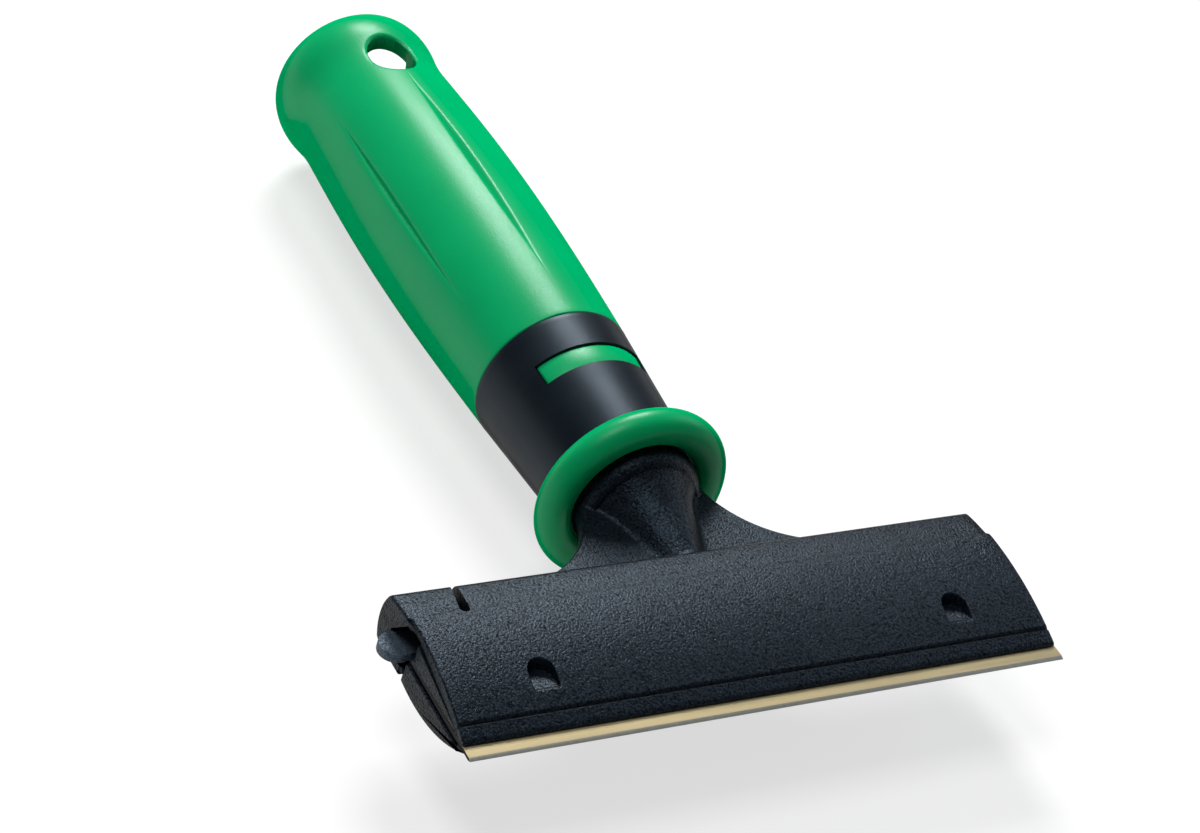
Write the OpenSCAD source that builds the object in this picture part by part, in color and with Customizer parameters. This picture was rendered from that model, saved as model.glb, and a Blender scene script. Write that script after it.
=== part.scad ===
// Wide-blade glass scraper with a slide-out blade tray, in millimetres.
// Y runs along the handle, with the blade towards -Y. X runs along the blade. Z is up.
// The origin is the centre of the pole socket's hard mouth, on the handle axis.

/* [Handle] */
// Length from the socket mouth to the middle of the finger ring
handle_len = 109.5; // [100:0.5:140]
// Soft lip of the grip that wraps over the socket mouth
grip_lip = 1.5; // [1:0.1:3]
// Bore of the pole socket
socket_d = 22; // [19:0.1:26]
// Wall of the hard tube round the pole socket
tube_wall = 1.3; // [1:0.05:2]
// Wall between the socket's floor and the neck's spigot
socket_floor = 7.5; // [6:0.1:12]
// Width of the oval lock hole in the top of the handle
lock_hole_w = 7.8; // [6:0.1:8.8]
// Length of the oval lock hole along the handle
lock_hole_l = 9.4; // [9:0.1:12]
// Soft lining of the lock hole
lock_lining = 1.2; // [0.8:0.1:2]
// Distance of the lock hole from the socket mouth
lock_hole_back = 11.5; // [10:0.1:20]

/* [Collar] */
// Length of the hard collar behind the middle of the finger ring
collar_len = 27.5; // [24:0.1:30]
// Step from the tube up to the collar where the grip starts
joint_step = 1; // [0.7:0.05:1.6]
// How deep the finger ring sits in the collar's front end
ring_seat = 1.05; // [0.6:0.05:1.5]
// How far the collar reaches in front of the middle of the finger ring
collar_nose = 1; // [0.6:0.1:1.6]

/* [Grip] */
// Thickness of the soft layer at the grip's belly
belly_wall = 2.35; // [2:0.05:4]
// Distance of the belly from the butt end
belly_back = 44; // [38:0.5:55]
// Thickness of the soft layer at the waist in front of the butt bead
waist_wall = 1.3; // [1:0.05:1.8]
// Distance of the waist from the butt end
waist_back = 12.2; // [11:0.1:16]
// Thickness of the soft layer at the butt bead
bead_wall = 2; // [1.9:0.05:3]
// Distance of the butt bead's crest from the butt end
bead_back = 5.2; // [4:0.1:7]
// Width of the flat round the socket mouth at the butt end
butt_land = 1; // [0.6:0.1:1.8]
// Number of finger grooves round the grip
groove_count = 6; // [3:1:8]
// Depth of a finger groove at the belly
groove_depth = 0.7; // [0.4:0.05:1]
// Half angle of a finger groove's section
groove_angle = 52; // [40:1:60]

/* [Inlay] */
// Angle that the inlay covers round the collar
inlay_angle = 90; // [40:1:120]
// Width of the inlay along the handle
inlay_w = 4; // [2.5:0.1:6]
// Distance from the middle of the finger ring to the middle of the inlay
inlay_back = 18.5; // [14:0.1:22]
// Depth of the inlay's seat in the collar
inlay_seat = 1.3; // [1:0.05:1.6]
// How far the inlay's face lies below the collar
inlay_sink = 0.35; // [0.1:0.05:0.6]

/* [Finger ring] */
// Inside diameter of the finger ring
ring_bore = 20.6; // [18:0.1:22]
// Diameter of the ring's round section
ring_tube_d = 5.6; // [5:0.1:5.7]

/* [Neck] */
// Length of the neck's round base in front of the collar
base_l = 3.4; // [2.6:0.1:5]
// Rounding of the base's front edge
base_r = 2.2; // [1:0.1:2.6]
// Step from the base down to the neck's cone at the collar
base_step = 1.4; // [0.6:0.1:1.8]
// Diameter of the neck's cone at the rear of the head
nose_d = 6.8; // [5:0.1:7.6]
// Length of the neck from the middle of the ring to the rear of the head
neck_len = 18; // [15:0.1:24]
// How far each web reaches past the neck's base at the collar
web_root = 0.4; // [0.2:0.1:1]
// Radius of the webs' flares
flare_r = 18.5; // [14:0.1:20]
// How far the flares' tips stand behind the rear of the head
flare_tip = 0.7; // [0.4:0.1:1.5]
// Thickness of the webs
web_t = 3.4; // [2.4:0.1:5]
// Shoulder from the neck's base down to the spigot inside the collar
spigot_step = 1.6; // [1:0.1:3]
// Length of the spigot behind the collar's front end
spigot_len = 25; // [20:0.5:26]
// Width of the two keys on the spigot
key_w = 3; // [2:0.1:4]

/* [Neck screw] */
// Diameter of the screw's shank
screw_d = 4.5; // [3.5:0.1:5]
// Length of the shank below the head
screw_len = 18; // [14:0.5:20]
// Diameter of the screw's head
screw_head_d = 9; // [7:0.1:10]
// Height of the screw's head
screw_head_h = 3; // [2:0.1:4]

/* [Head] */
// Width of the head along the blade
head_w = 100; // [90:1:160]
// Depth of the upper shell from its rear to its front lip
head_depth = 27.4; // [23:0.1:32]
// Height of the blade's middle plane above the handle axis
blade_rise = 1; // [0.5:0.1:1.5]
// Height of the upper shell's crown above the blade plane
crown_h = 5.5; // [4.8:0.1:7]
// Distance of the crown from the rear of the head
crown_back = 9; // [6:0.1:11]
// Height of the front lip's top above the blade plane
lip_h = 0.9; // [0.8:0.05:1.2]
// Radius of the rounded rear face
rear_r = 8; // [6.5:0.1:10]
// Depth of the lower shell below the blade plane
keel_h = 5.3; // [4.8:0.1:7]
// Distance of the keel's deepest line from the rear of the head
keel_back = 13.5; // [12:0.1:16]
// Length of the rear block that carries the lower shell
block_depth = 8.8; // [8.2:0.1:10]
// Height of the rear block's underside below the blade plane
block_h = 4.1; // [3.8:0.1:4.6]
// Wall between the rear face and the tray slot
rear_wall = 3.9; // [3:0.1:4]
// Skin left over the cored pockets
skin_t = 1.7; // [1.2:0.1:2.2]
// Number of cored pockets under the upper shell
core_count = 4; // [2:1:6]
// Thickness of the ribs between the cored pockets
rib_t = 1.4; // [1:0.1:2]
// Shoulder by which the rear block stands back at the right end
right_shoulder = 1.6; // [0.8:0.1:2.5]
// Shoulder by which the rear block stands proud at the left end
left_shoulder = 0.5; // [0.2:0.1:1]
// Distance of the shoulders and the upper step from the rear of the head
shoulder_back = 7.2; // [6:0.1:8]
// Step of the upper surface at the shoulders
top_step = 0.15; // [0.1:0.05:0.4]
// Lean of the head's right end face
right_lean = 13; // [5:0.5:20]
// Wall at the right end that stops the tray
end_wall = 1.8; // [1.7:0.1:3]
// Depth of the front lips that hold the blade flat
lip_w = 1.6; // [1.2:0.1:2.2]
// How far the lower lip reaches past the upper one
lower_lead = 0.2; // [0.1:0.05:0.5]
// Thickness of the lower lip at its front edge
lower_lip_t = 0.35; // [0.2:0.05:0.6]
// Thickness of the tongue at the rear of the lower shell
tongue_t = 1.25; // [1.1:0.05:1.3]
// How far the tongue reaches into the rear wall
tongue_in = 1; // [0.6:0.1:1.5]

/* [Head details] */
// Distance of the front groove from the lip
lip_groove_back = 2.4; // [2.2:0.1:5]
// Width of the front groove
lip_groove_w = 0.7; // [0.4:0.05:1]
// Spacing of the two windows
window_pitch = 70; // [60:0.5:74]
// Width of a window
window_w = 4; // [3:0.1:6]
// Length of a window
window_l = 5; // [4:0.1:7]
// Distance of a window's rear edge from the rear of the head
window_back = 17.4; // [15:0.1:18]
// Depth of a window at its rear edge
window_depth = 2.2; // [1:0.1:2.4]
// Distance of the teardrop slot from the left end
slot_from_end = 9.2; // [8:0.1:14]
// Length of the teardrop slot
slot_l = 7.5; // [5:0.1:7.5]
// Width of the teardrop slot at its round end
slot_w = 1.6; // [1.2:0.1:2.5]
// Width of the teardrop slot at the rear edge
slot_mouth_w = 0.7; // [0.6:0.1:1.6]

/* [Blade] */
// Thickness of the blade
blade_t = 0.5; // [0.3:0.05:0.6]
// How far the blade stands out of the front lip
blade_show = 2.5; // [1.5:0.1:4]
// Width of the ground bevel
bevel_w = 0.6; // [0.5:0.1:1.5]
// Spacing of the two holes in the blade
peg_pitch = 60; // [40:0.5:70]
// Diameter of the tray's pegs
peg_d = 3; // [2:0.1:4]

/* [Tray] */
// Thickness of the tray's rear rail
rail_t = 1.45; // [1.35:0.05:1.6]
// Width of the rear rail between the blade and the spring arm
rail_w = 1.6; // [1:0.1:3]
// Thickness of the tray's floor under the blade
tray_floor = 0.8; // [0.75:0.05:0.9]
// Length of the spring arm from its root to the left end of the head
arm_l = 26; // [20:0.5:32]
// Width of the spring arm
arm_w = 4.6; // [3.5:0.1:4.8]
// How far the thumb tab stands out of the left end
tab_out = 3.4; // [2.5:0.1:6]
// Width of the thumb tab
tab_w = 5; // [4.6:0.1:5.4]
// Distance of the spring arm from the slot's rear wall
arm_inset = 0.5; // [0.4:0.05:0.8]
// Length of the thumb scoop above the tab
scoop_l = 7.4; // [6.5:0.1:13]
// Depth of the thumb scoop in the left end
scoop_depth = 4; // [2:0.1:6]
// Skin left above the thumb scoop
scoop_skin = 1; // [0.8:0.1:1.6]

/* [Clearances] */
// Gap round pieces that slide past each other
slide_gap = 0.2; // [0.15:0.01:0.25]
// Gap between pieces that are fixed together
seat_gap = 0.05; // [0.02:0.01:0.1]
// Gap round the spring arm
arm_gap = 0.3; // [0.2:0.05:0.4]
// Gap between the blade and the front lips
lip_gap = 0.15; // [0.1:0.01:0.2]
// Gap between the finger ring and the neck's cone
neck_gap = 0.3; // [0.3:0.05:0.8]
// Gap between the finger ring and the webs
ring_gap = 0.3; // [0.2:0.05:0.5]

/* [Hidden] */
$fn = 96;
// Overlap that keeps cuts and joined forms clear of shared faces
eps = 0.05;
hard_black = "#2b2e34";
soft_green = "#00a05c";
steel = "#c9bd9f";

// Diameters that follow from the socket, the soft layers and the finger ring
tube_d = socket_d + 2 * tube_wall;
joint_d = tube_d + 2 * joint_step;
belly_d = tube_d + 2 * belly_wall;
waist_d = tube_d + 2 * waist_wall;
bead_d = tube_d + 2 * bead_wall;
mouth_d = socket_d + 2 * slide_gap;
butt_d = mouth_d + 2 * butt_land;
collar_front_d = ring_bore + 2 * ring_seat;
neck_d = ring_bore - 2 * neck_gap;
spigot_d = neck_d - 2 * spigot_step;

// Places along the handle
y_ring = -handle_len;
y_collar = y_ring - collar_nose;
y_joint = y_ring + collar_len;
y_butt = grip_lip;
y_bead = y_butt - bead_back;
y_waist = y_butt - waist_back;
y_belly = y_butt - belly_back;
y_inlay = y_ring + inlay_back;
inlay_play = 2 * seat_gap / joint_d * 360 / PI;
y_spigot = y_collar + spigot_len;
y_key = y_spigot - key_w;
y_floor = y_spigot + socket_floor;
y_screw_seat = y_floor - slide_gap - screw_head_h;
y_screw_tip = y_screw_seat - screw_len;
collar_slope = (joint_d - collar_front_d) / 2 / (collar_len + collar_nose);

// Places across the head, as Y and as heights above the blade plane
y_rear = y_ring - neck_len;
y_lip = y_rear - head_depth;
y_edge = y_lip - blade_show;
y_crown = y_rear - crown_back;
y_keel = y_rear - keel_back;
y_block = y_rear - block_depth;
y_step = y_rear - shoulder_back;
y_slot_back = y_rear - rear_wall;
crown_r = arc_r(y_crown - y_lip, crown_h - lip_h);
x_left = -head_w / 2;
x_right = head_w / 2;

// Heights of the stack in the slot, from the tray's underside to the slot's roof
h_blade = blade_t / 2;
h_floor_top = -h_blade - seat_gap;
h_tray = h_floor_top - tray_floor;
h_rail = h_tray + rail_t;
h_roof = h_rail + slide_gap;
h_deck = h_tray - slide_gap;
h_tongue = h_deck - tongue_t;
h_lip = h_blade + lip_gap;
y_lip_inner = y_lip + lip_w;
y_lower_lip = y_lip - lower_lead;
keel_r = arc_r(y_keel - y_lower_lip, keel_h - h_lip - lower_lip_t);
x_stop = x_right - end_wall;
y_arm = y_slot_back - arm_inset - arm_w / 2;
x_arm_root = x_left + arm_l;
y_strip = y_arm - arm_w / 2 - arm_gap;
y_blade_back = y_strip - rail_w;
y_peg = (y_blade_back + y_lip_inner) / 2;

// Grip radius at a place along the handle: quarter waves between joint, belly, waist and bead
function grip_r(y) =
    y < y_belly ? joint_d / 2 + (belly_d - joint_d) / 2 * sin(90 * (y - y_joint) / (y_belly - y_joint))
    : y < y_waist ? waist_d / 2 + (belly_d - waist_d) / 2 * cos(90 * (y - y_belly) / (y_waist - y_belly))
    : y < y_bead ? waist_d / 2 + (bead_d - waist_d) / 4 * (1 - cos(180 * (y - y_waist) / (y_bead - y_waist)))
    : butt_d / 2 + (bead_d - butt_d) / 2 * sqrt(max(0, 1 - pow((y - y_bead) / (y_butt - y_bead), 2)));

// Evenly spaced places from a to b, without b
function steps(a, b, n) = [for (i = [0 : n - 1]) a + (b - a) * i / n];

// Radius of an arc that falls by a drop over a run from its crest
function arc_r(run, drop) = (run * run + drop * drop) / 2 / drop;

// Height of the upper shell's surface above the blade plane
function crown_z(y) = crown_h - crown_r + sqrt(crown_r * crown_r - (y - y_crown) * (y - y_crown));

// Collar radius at a place along the handle
function collar_r(y) = collar_front_d / 2 + collar_slope * (y - y_collar);

// A section in Y and Z, drawn along X
module along_x(x0, x1) {
    translate([x0, 0, 0])
        rotate([90, 0, 90])
            linear_extrude(x1 - x0)
                children();
}

// A half section in radius and Y, turned round the handle axis
module around_y(angle = 360) {
    rotate([-90, 0, 0])
        rotate_extrude(angle = angle)
            children();
}

// A rectangle given by two corners
module rect(a, b) {
    translate(a)
        square(b - a);
}

// A block given by two corners
module block(a, b) {
    translate(a)
        cube(b - a);
}

// Moves a section from the blade plane's height to the handle axis's
module at_blade() {
    translate([0, blade_rise])
        children();
}

// Region below the upper shell's arched surface, lowered by the given depth
module below_crown(depth) {
    translate([y_crown, crown_h - crown_r])
        circle(r = crown_r - depth, $fn = 360);
}

// Section of the upper shell in front of its shoulders
module front_section() {
    difference() {
        intersection() {
            below_crown(0);
            rect([y_lip, h_deck + seat_gap], [y_step + eps, 2 * crown_h]);
        }
        rect([y_edge, h_deck], [y_lip_inner + seat_gap, seat_gap - h_lip]);
    }
}

// Section of the rear block with its rounded rear face
module rear_section() {
    intersection() {
        below_crown(top_step);
        rect([y_block, -block_h], [y_rear, 2 * crown_h]);
        union() {
            rect([y_block, -block_h], [y_step + eps, h_roof]);
            rect([y_step, -block_h], [y_rear - rear_r / 2, 2 * crown_h]);
            intersection() {
                rect([y_rear - rear_r / 2 - eps, -block_h], [y_rear, 2 * crown_h]);
                translate([y_rear - rear_r, 0])
                    circle(r = rear_r);
            }
        }
    }
}

// Slot that the tray slides in, with its narrow mouth between the lips
module slot_section() {
    rect([y_lip_inner, h_deck - eps], [y_slot_back, h_roof]);
    rect([y_edge, -h_lip], [y_lip_inner + eps, h_lip]);
}

// Round base at the collar, and the tapered nose that runs from it into the rear of the head
module nose() {
    r_base = neck_d / 2;
    y_base = y_collar - base_l;
    around_y() {
        rect([0, y_base], [r_base - base_r, y_collar - seat_gap]);
        rect([0, y_base + base_r], [r_base, y_collar - seat_gap]);
        translate([r_base - base_r, y_base + base_r])
            intersection() {
                circle(r = base_r);
                rect([0, -base_r], [base_r, 0]);
            }
        polygon([[0, y_collar - seat_gap], [r_base - base_step, y_collar - seat_gap],
            [nose_d / 2, y_rear], [nose_d / 2, y_rear - rear_wall / 2], [0, y_rear - rear_wall / 2]]);
    }
}

// Flat webs at both sides of the nose, flared into the rear face and cleared round the ring
module webs() {
    x_flare = neck_d / 2 + web_root + flare_r;
    y_flare = y_rear + flare_tip + flare_r;
    difference() {
        block([-x_flare, y_rear - rear_wall / 2, -web_t / 2], [x_flare, y_collar - seat_gap, web_t / 2]);
        for (side = [-1, 1])
            translate([side * x_flare, y_flare, -web_t])
                cylinder(r = flare_r, h = 2 * web_t);
        ring_body(ring_tube_d + 2 * ring_gap);
    }
}

// Spigot and keys that fill the collar's front bore
module spigot() {
    around_y()
        rect([0, y_collar - collar_nose], [spigot_d / 2, y_spigot]);
    for (side = [-1, 1])
        block([side * spigot_d / 2 - key_w / 4, y_collar - seat_gap, -key_w / 2],
            [side * spigot_d / 2 + key_w / 4, y_key, key_w / 2]);
}

// Cored pockets under the upper shell, between the windows
module core_pockets() {
    core_pitch = (window_pitch - window_w - 2 * rib_t) / core_count;
    for (i = [0 : core_count - 1])
        translate([core_pitch * (i - core_count / 2), 0, 0])
            along_x(rib_t / 2, core_pitch - rib_t / 2)
                at_blade()
                    intersection() {
                        below_crown(skin_t);
                        rect([y_lip_inner + skin_t, h_roof - eps], [y_slot_back - rib_t, crown_h]);
                    }
}

// Arched window: a round-backed cut whose floor ramps up towards the blade
module window() {
    y_back = y_rear - window_back;
    y_front = y_back - window_l;
    cut_h = blade_rise + 2 * crown_h;
    intersection() {
        union() {
            translate([0, y_back - window_w / 2, 0])
                cylinder(d = window_w, h = cut_h);
            block([-window_w / 2, y_front, 0], [window_w / 2, y_back - window_w / 2, cut_h]);
        }
        along_x(-window_w, window_w)
            at_blade()
                polygon([[y_back + eps, crown_z(y_back) - window_depth], [y_back + eps, cut_h],
                    [y_front, cut_h], [y_front, crown_z(y_front)]]);
    }
}

// Teardrop slot at the rear edge, near the left end
module teardrop() {
    y_round = y_rear - slot_l + slot_w / 2;
    translate([x_left + slot_from_end, 0, blade_rise + h_roof - eps])
        linear_extrude(crown_h) {
            translate([0, y_round])
                circle(d = slot_w);
            polygon([[-slot_w / 2, y_round], [slot_w / 2, y_round],
                [slot_mouth_w / 2, y_rear + eps], [-slot_mouth_w / 2, y_rear + eps]]);
        }
}

// Thumb scoop above the tab, under the skin of the left end
module scoop() {
    y_front = y_slot_back - scoop_l;
    along_x(x_left - 2 * left_shoulder, x_left + scoop_depth)
        at_blade()
            intersection() {
                below_crown(scoop_skin);
                polygon([[y_slot_back, h_tray], [y_slot_back, h_roof], [y_block, crown_h],
                    [y_front, crown_h], [y_front, h_tray]]);
            }
}

// Fine groove along the front lip
module lip_groove() {
    y_groove = y_lip + lip_groove_back;
    along_x(x_left - eps, x_right + eps)
        at_blade()
            translate([y_groove, crown_z(y_groove)])
                rotate(45)
                    square(lip_groove_w / sqrt(2), center = true);
}

module head_upper_shell() {
    color(hard_black)
        difference() {
            union() {
                along_x(x_left, x_right)
                    at_blade()
                        front_section();
                along_x(x_left - left_shoulder, x_right - right_shoulder)
                    at_blade()
                        rear_section();
                nose();
                webs();
                spigot();
            }
            along_x(x_left - 2 * left_shoulder, x_stop)
                at_blade() {
                    slot_section();
                    rect([y_block - eps, h_tongue - seat_gap], [y_slot_back + tongue_in, h_deck + seat_gap]);
                }
            along_x(x_stop - eps, x_right + eps)
                at_blade()
                    rect([y_edge, -h_blade - slide_gap], [y_blade_back + slide_gap, h_blade + slide_gap]);
            core_pockets();
            for (side = [-1, 1])
                translate([side * window_pitch / 2, 0, 0])
                    window();
            teardrop();
            scoop();
            lip_groove();
            around_y()
                rect([0, y_screw_tip - seat_gap], [screw_d / 2 + seat_gap, y_spigot + eps]);
            translate([x_right, y_edge, blade_rise + h_blade])
                rotate([0, -right_lean, 0])
                    cube([head_depth, head_depth + blade_show, head_depth]);
        }
}

module head_lower_shell() {
    color(hard_black)
        difference() {
            along_x(x_left, x_right)
                at_blade()
                    union() {
                        intersection() {
                            translate([y_keel, keel_r - keel_h])
                                circle(r = keel_r, $fn = 360);
                            union() {
                                rect([y_lower_lip, -keel_h], [y_block - seat_gap, h_deck]);
                                rect([y_lower_lip, -keel_h], [y_lip_inner, -h_lip]);
                            }
                        }
                        rect([y_block - tongue_t, h_tongue], [y_slot_back + tongue_in - seat_gap, h_deck]);
                    }
            block([x_left - eps, y_strip, blade_rise + h_tongue - eps],
                [x_arm_root + rail_t, y_rear, blade_rise + h_rail]);
            block([x_stop - seat_gap, y_block - seat_gap, blade_rise + h_tongue - eps],
                [x_right + eps, y_rear, blade_rise + h_rail]);
        }
}

module blade_carrier() {
    color(hard_black) {
        difference() {
            along_x(x_left + 2 * slide_gap, x_stop - slide_gap)
                at_blade()
                    union() {
                        rect([y_lip_inner + 2 * slide_gap, h_tray], [y_slot_back - slide_gap, h_floor_top]);
                        rect([y_blade_back + slide_gap, h_tray], [y_slot_back - slide_gap, h_rail]);
                    }
            block([x_left, y_strip, blade_rise + h_deck],
                [x_arm_root, y_slot_back, blade_rise + h_roof]);
            translate([x_arm_root, y_slot_back, blade_rise + h_tray + rail_t / 2])
                rotate([90, 0, 0])
                    cylinder(d = rail_t + 2 * slide_gap, h = y_slot_back - y_strip);
        }
        for (side = [-1, 1])
            translate([side * peg_pitch / 2, y_peg, blade_rise + h_floor_top - tray_floor / 2])
                cylinder(d = peg_d, h = h_rail - h_floor_top + tray_floor / 2);
    }
}

module carrier_latch() {
    x_tab = x_left - tab_out + tab_w / 2;
    color(hard_black)
        translate([0, y_arm, blade_rise + h_tray]) {
            block([x_tab, -arm_w / 2, 0], [x_arm_root, arm_w / 2, rail_t]);
            translate([x_arm_root, arm_w / 2, rail_t / 2])
                rotate([90, 0, 0])
                    cylinder(d = rail_t, h = arm_w);
            translate([x_tab, 0, 0])
                cylinder(d = tab_w, h = rail_t);
            block([x_tab, -tab_w / 2, 0], [x_left - slide_gap, tab_w / 2, rail_t]);
        }
}

module blade() {
    color(steel)
        difference() {
            along_x(x_left, x_right)
                at_blade()
                    polygon([[y_edge, 0], [y_edge + bevel_w, h_blade], [y_blade_back, h_blade],
                        [y_blade_back, -h_blade], [y_edge + bevel_w, -h_blade]]);
            for (side = [-1, 1])
                translate([side * peg_pitch / 2, y_peg, blade_rise - blade_t])
                    cylinder(d = peg_d + 2 * seat_gap, h = 2 * blade_t);
        }
}

// Segment round the collar that the inlay fills
module inlay_band(angle, width, floor_depth, face_depth) {
    rotate([0, 90 - angle / 2, 0])
        rotate([0, 180, 0])
            around_y(angle)
                polygon([[collar_r(y_inlay) - floor_depth, y_inlay - width / 2],
                    [collar_r(y_inlay) - floor_depth, y_inlay + width / 2],
                    [collar_r(y_inlay + width / 2) - face_depth, y_inlay + width / 2],
                    [collar_r(y_inlay - width / 2) - face_depth, y_inlay - width / 2]]);
}

// Oval outline of the lock hole, grown by the given width
module lock_outline(grow) {
    half_w = lock_hole_w / 2 + grow;
    run = (lock_hole_l - lock_hole_w) / 2;
    for (side = [-1, 1])
        translate([0, side * run - lock_hole_back])
            circle(r = half_w);
    rect([-half_w, -lock_hole_back - run], [half_w, run - lock_hole_back]);
}

module handle_core() {
    color(hard_black)
        difference() {
            around_y()
                polygon([[spigot_d / 2 + seat_gap, y_collar], [collar_r(y_collar), y_collar],
                    [joint_d / 2, y_joint], [tube_d / 2, y_joint], [tube_d / 2, 0],
                    [socket_d / 2, 0], [socket_d / 2, y_floor],
                    [screw_head_d / 2 + slide_gap, y_floor],
                    [screw_head_d / 2 + slide_gap, y_screw_seat - seat_gap],
                    [screw_d / 2 + slide_gap, y_screw_seat - seat_gap],
                    [screw_d / 2 + slide_gap, y_spigot + seat_gap],
                    [spigot_d / 2 + seat_gap, y_spigot + seat_gap]]);
            ring_body(ring_tube_d + 2 * seat_gap);
            inlay_band(inlay_angle + inlay_play, inlay_w + 2 * seat_gap, inlay_seat, -eps);
            for (side = [-1, 1])
                block([side * spigot_d / 2 - key_w / 4 - seat_gap, y_collar - eps, -key_w / 2 - seat_gap],
                    [side * spigot_d / 2 + key_w / 4 + seat_gap, y_key + seat_gap, key_w / 2 + seat_gap]);
            linear_extrude(tube_d)
                lock_outline(lock_lining + seat_gap);
        }
}

module grip_sleeve() {
    groove_reach = 2 * groove_depth;
    outline = concat(
        steps(y_joint + seat_gap, y_belly, 7), steps(y_belly, y_waist, 7),
        steps(y_waist, y_bead, 8), steps(y_bead, y_butt, 10), [y_butt]);
    color(soft_green)
        difference() {
            union() {
                around_y()
                    polygon(concat(
                        [for (y = outline) [grip_r(y), y]],
                        [[mouth_d / 2, y_butt], [mouth_d / 2, seat_gap],
                            [tube_d / 2 + seat_gap, seat_gap], [tube_d / 2 + seat_gap, y_joint + seat_gap]]));
                intersection() {
                    linear_extrude(tube_d)
                        lock_outline(lock_lining);
                    around_y()
                        rect([mouth_d / 2, y_waist - lock_hole_l], [tube_d / 2 + 2 * seat_gap, 0]);
                }
            }
            for (i = [0 : groove_count - 1])
                rotate([0, 360 / groove_count * i, 0])
                    translate([0, y_waist, belly_d / 2 - groove_depth])
                        rotate([90, 0, 0])
                            linear_extrude(y_waist - y_joint)
                                polygon([[0, 0], [groove_reach * tan(groove_angle), groove_reach],
                                    [-groove_reach * tan(groove_angle), groove_reach]]);
            linear_extrude(bead_d)
                lock_outline(0);
        }
}

// Round ring that snaps into a cove at the collar's front end
module ring_body(section_d) {
    around_y()
        translate([(ring_bore + ring_tube_d) / 2, y_ring])
            circle(d = section_d);
}

module collar_ring() {
    color(soft_green)
        ring_body(ring_tube_d);
}

module collar_inlay() {
    color(soft_green)
        inlay_band(inlay_angle, inlay_w, inlay_seat - seat_gap, inlay_sink);
}

module neck_screw() {
    color("silver")
        around_y()
            polygon([[0, y_screw_tip], [screw_d / 2, y_screw_tip],
                [screw_d / 2, y_screw_seat], [screw_head_d / 2, y_screw_seat],
                [screw_head_d / 2, y_screw_seat + screw_head_h], [0, y_screw_seat + screw_head_h]]);
}

head_upper_shell();
head_lower_shell();
blade_carrier();
carrier_latch();
blade();
handle_core();
grip_sleeve();
collar_ring();
collar_inlay();
neck_screw();
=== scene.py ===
"""Visible pieces of a wide-blade glass scraper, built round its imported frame, and a plain studio stage."""
import math
from functools import partial
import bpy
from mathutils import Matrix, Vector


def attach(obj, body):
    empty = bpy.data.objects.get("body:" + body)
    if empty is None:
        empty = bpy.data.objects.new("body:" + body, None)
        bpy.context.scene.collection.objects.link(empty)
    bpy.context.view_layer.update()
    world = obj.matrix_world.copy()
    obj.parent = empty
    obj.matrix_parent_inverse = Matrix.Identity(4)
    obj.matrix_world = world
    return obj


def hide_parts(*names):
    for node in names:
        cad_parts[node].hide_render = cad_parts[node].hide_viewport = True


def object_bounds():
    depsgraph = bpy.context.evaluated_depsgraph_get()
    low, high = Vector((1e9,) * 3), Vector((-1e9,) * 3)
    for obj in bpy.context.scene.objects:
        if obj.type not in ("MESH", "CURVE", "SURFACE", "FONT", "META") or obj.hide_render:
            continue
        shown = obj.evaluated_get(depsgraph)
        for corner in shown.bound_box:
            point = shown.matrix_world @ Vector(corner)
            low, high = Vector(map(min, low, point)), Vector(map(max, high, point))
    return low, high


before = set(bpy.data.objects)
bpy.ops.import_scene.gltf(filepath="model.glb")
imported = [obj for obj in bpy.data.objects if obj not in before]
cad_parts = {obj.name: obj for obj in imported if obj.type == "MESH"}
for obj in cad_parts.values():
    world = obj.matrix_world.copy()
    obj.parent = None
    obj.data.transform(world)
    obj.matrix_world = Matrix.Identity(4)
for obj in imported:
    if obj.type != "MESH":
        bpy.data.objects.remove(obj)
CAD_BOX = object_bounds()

from types import SimpleNamespace

import bmesh
import bpy
import numpy as np
from bpy.props import FloatProperty, FloatVectorProperty, IntProperty, PointerProperty
from mathutils import Matrix, Vector

bl_info = {
    "name": "Glass scraper",
    "version": (1, 0, 0),
    "blender": (4, 5, 0),
    "location": "View3D > Sidebar > Scraper",
    "description": "Builds the visible pieces of a wide-blade glass scraper and a studio stage",
    "category": "Mesh",
}

MM = 0.001
# Height of the blade's middle plane above the handle axis
RISE = 1.0
# Clearance between pieces that seat in each other
GAP = 0.05
# Angle above which two faces meet in a crisp edge
CRISP = math.radians(34)
# Reach of a cutter that only has to clear the part
FAR = 60.0


def linear(hex_colour):
    """Linear RGBA of an sRGB hex colour."""
    parts = [int(hex_colour[i:i + 2], 16) / 255 for i in (1, 3, 5)]
    return tuple(c / 12.92 if c <= 0.04045 else ((c + 0.055) / 1.055) ** 2.4 for c in parts) + (1.0,)


def length(name, description, millimetres):
    """A length property whose default is given in millimetres."""
    return FloatProperty(name=name, description=description, default=millimetres * MM, precision=5,
                         unit="LENGTH", subtype="DISTANCE")


def colour(name, description, hex_colour):
    """A colour property whose default is given as sRGB hex."""
    return FloatVectorProperty(name=name, description=description, default=linear(hex_colour), size=4,
                               min=0, max=1, subtype="COLOR")


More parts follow.
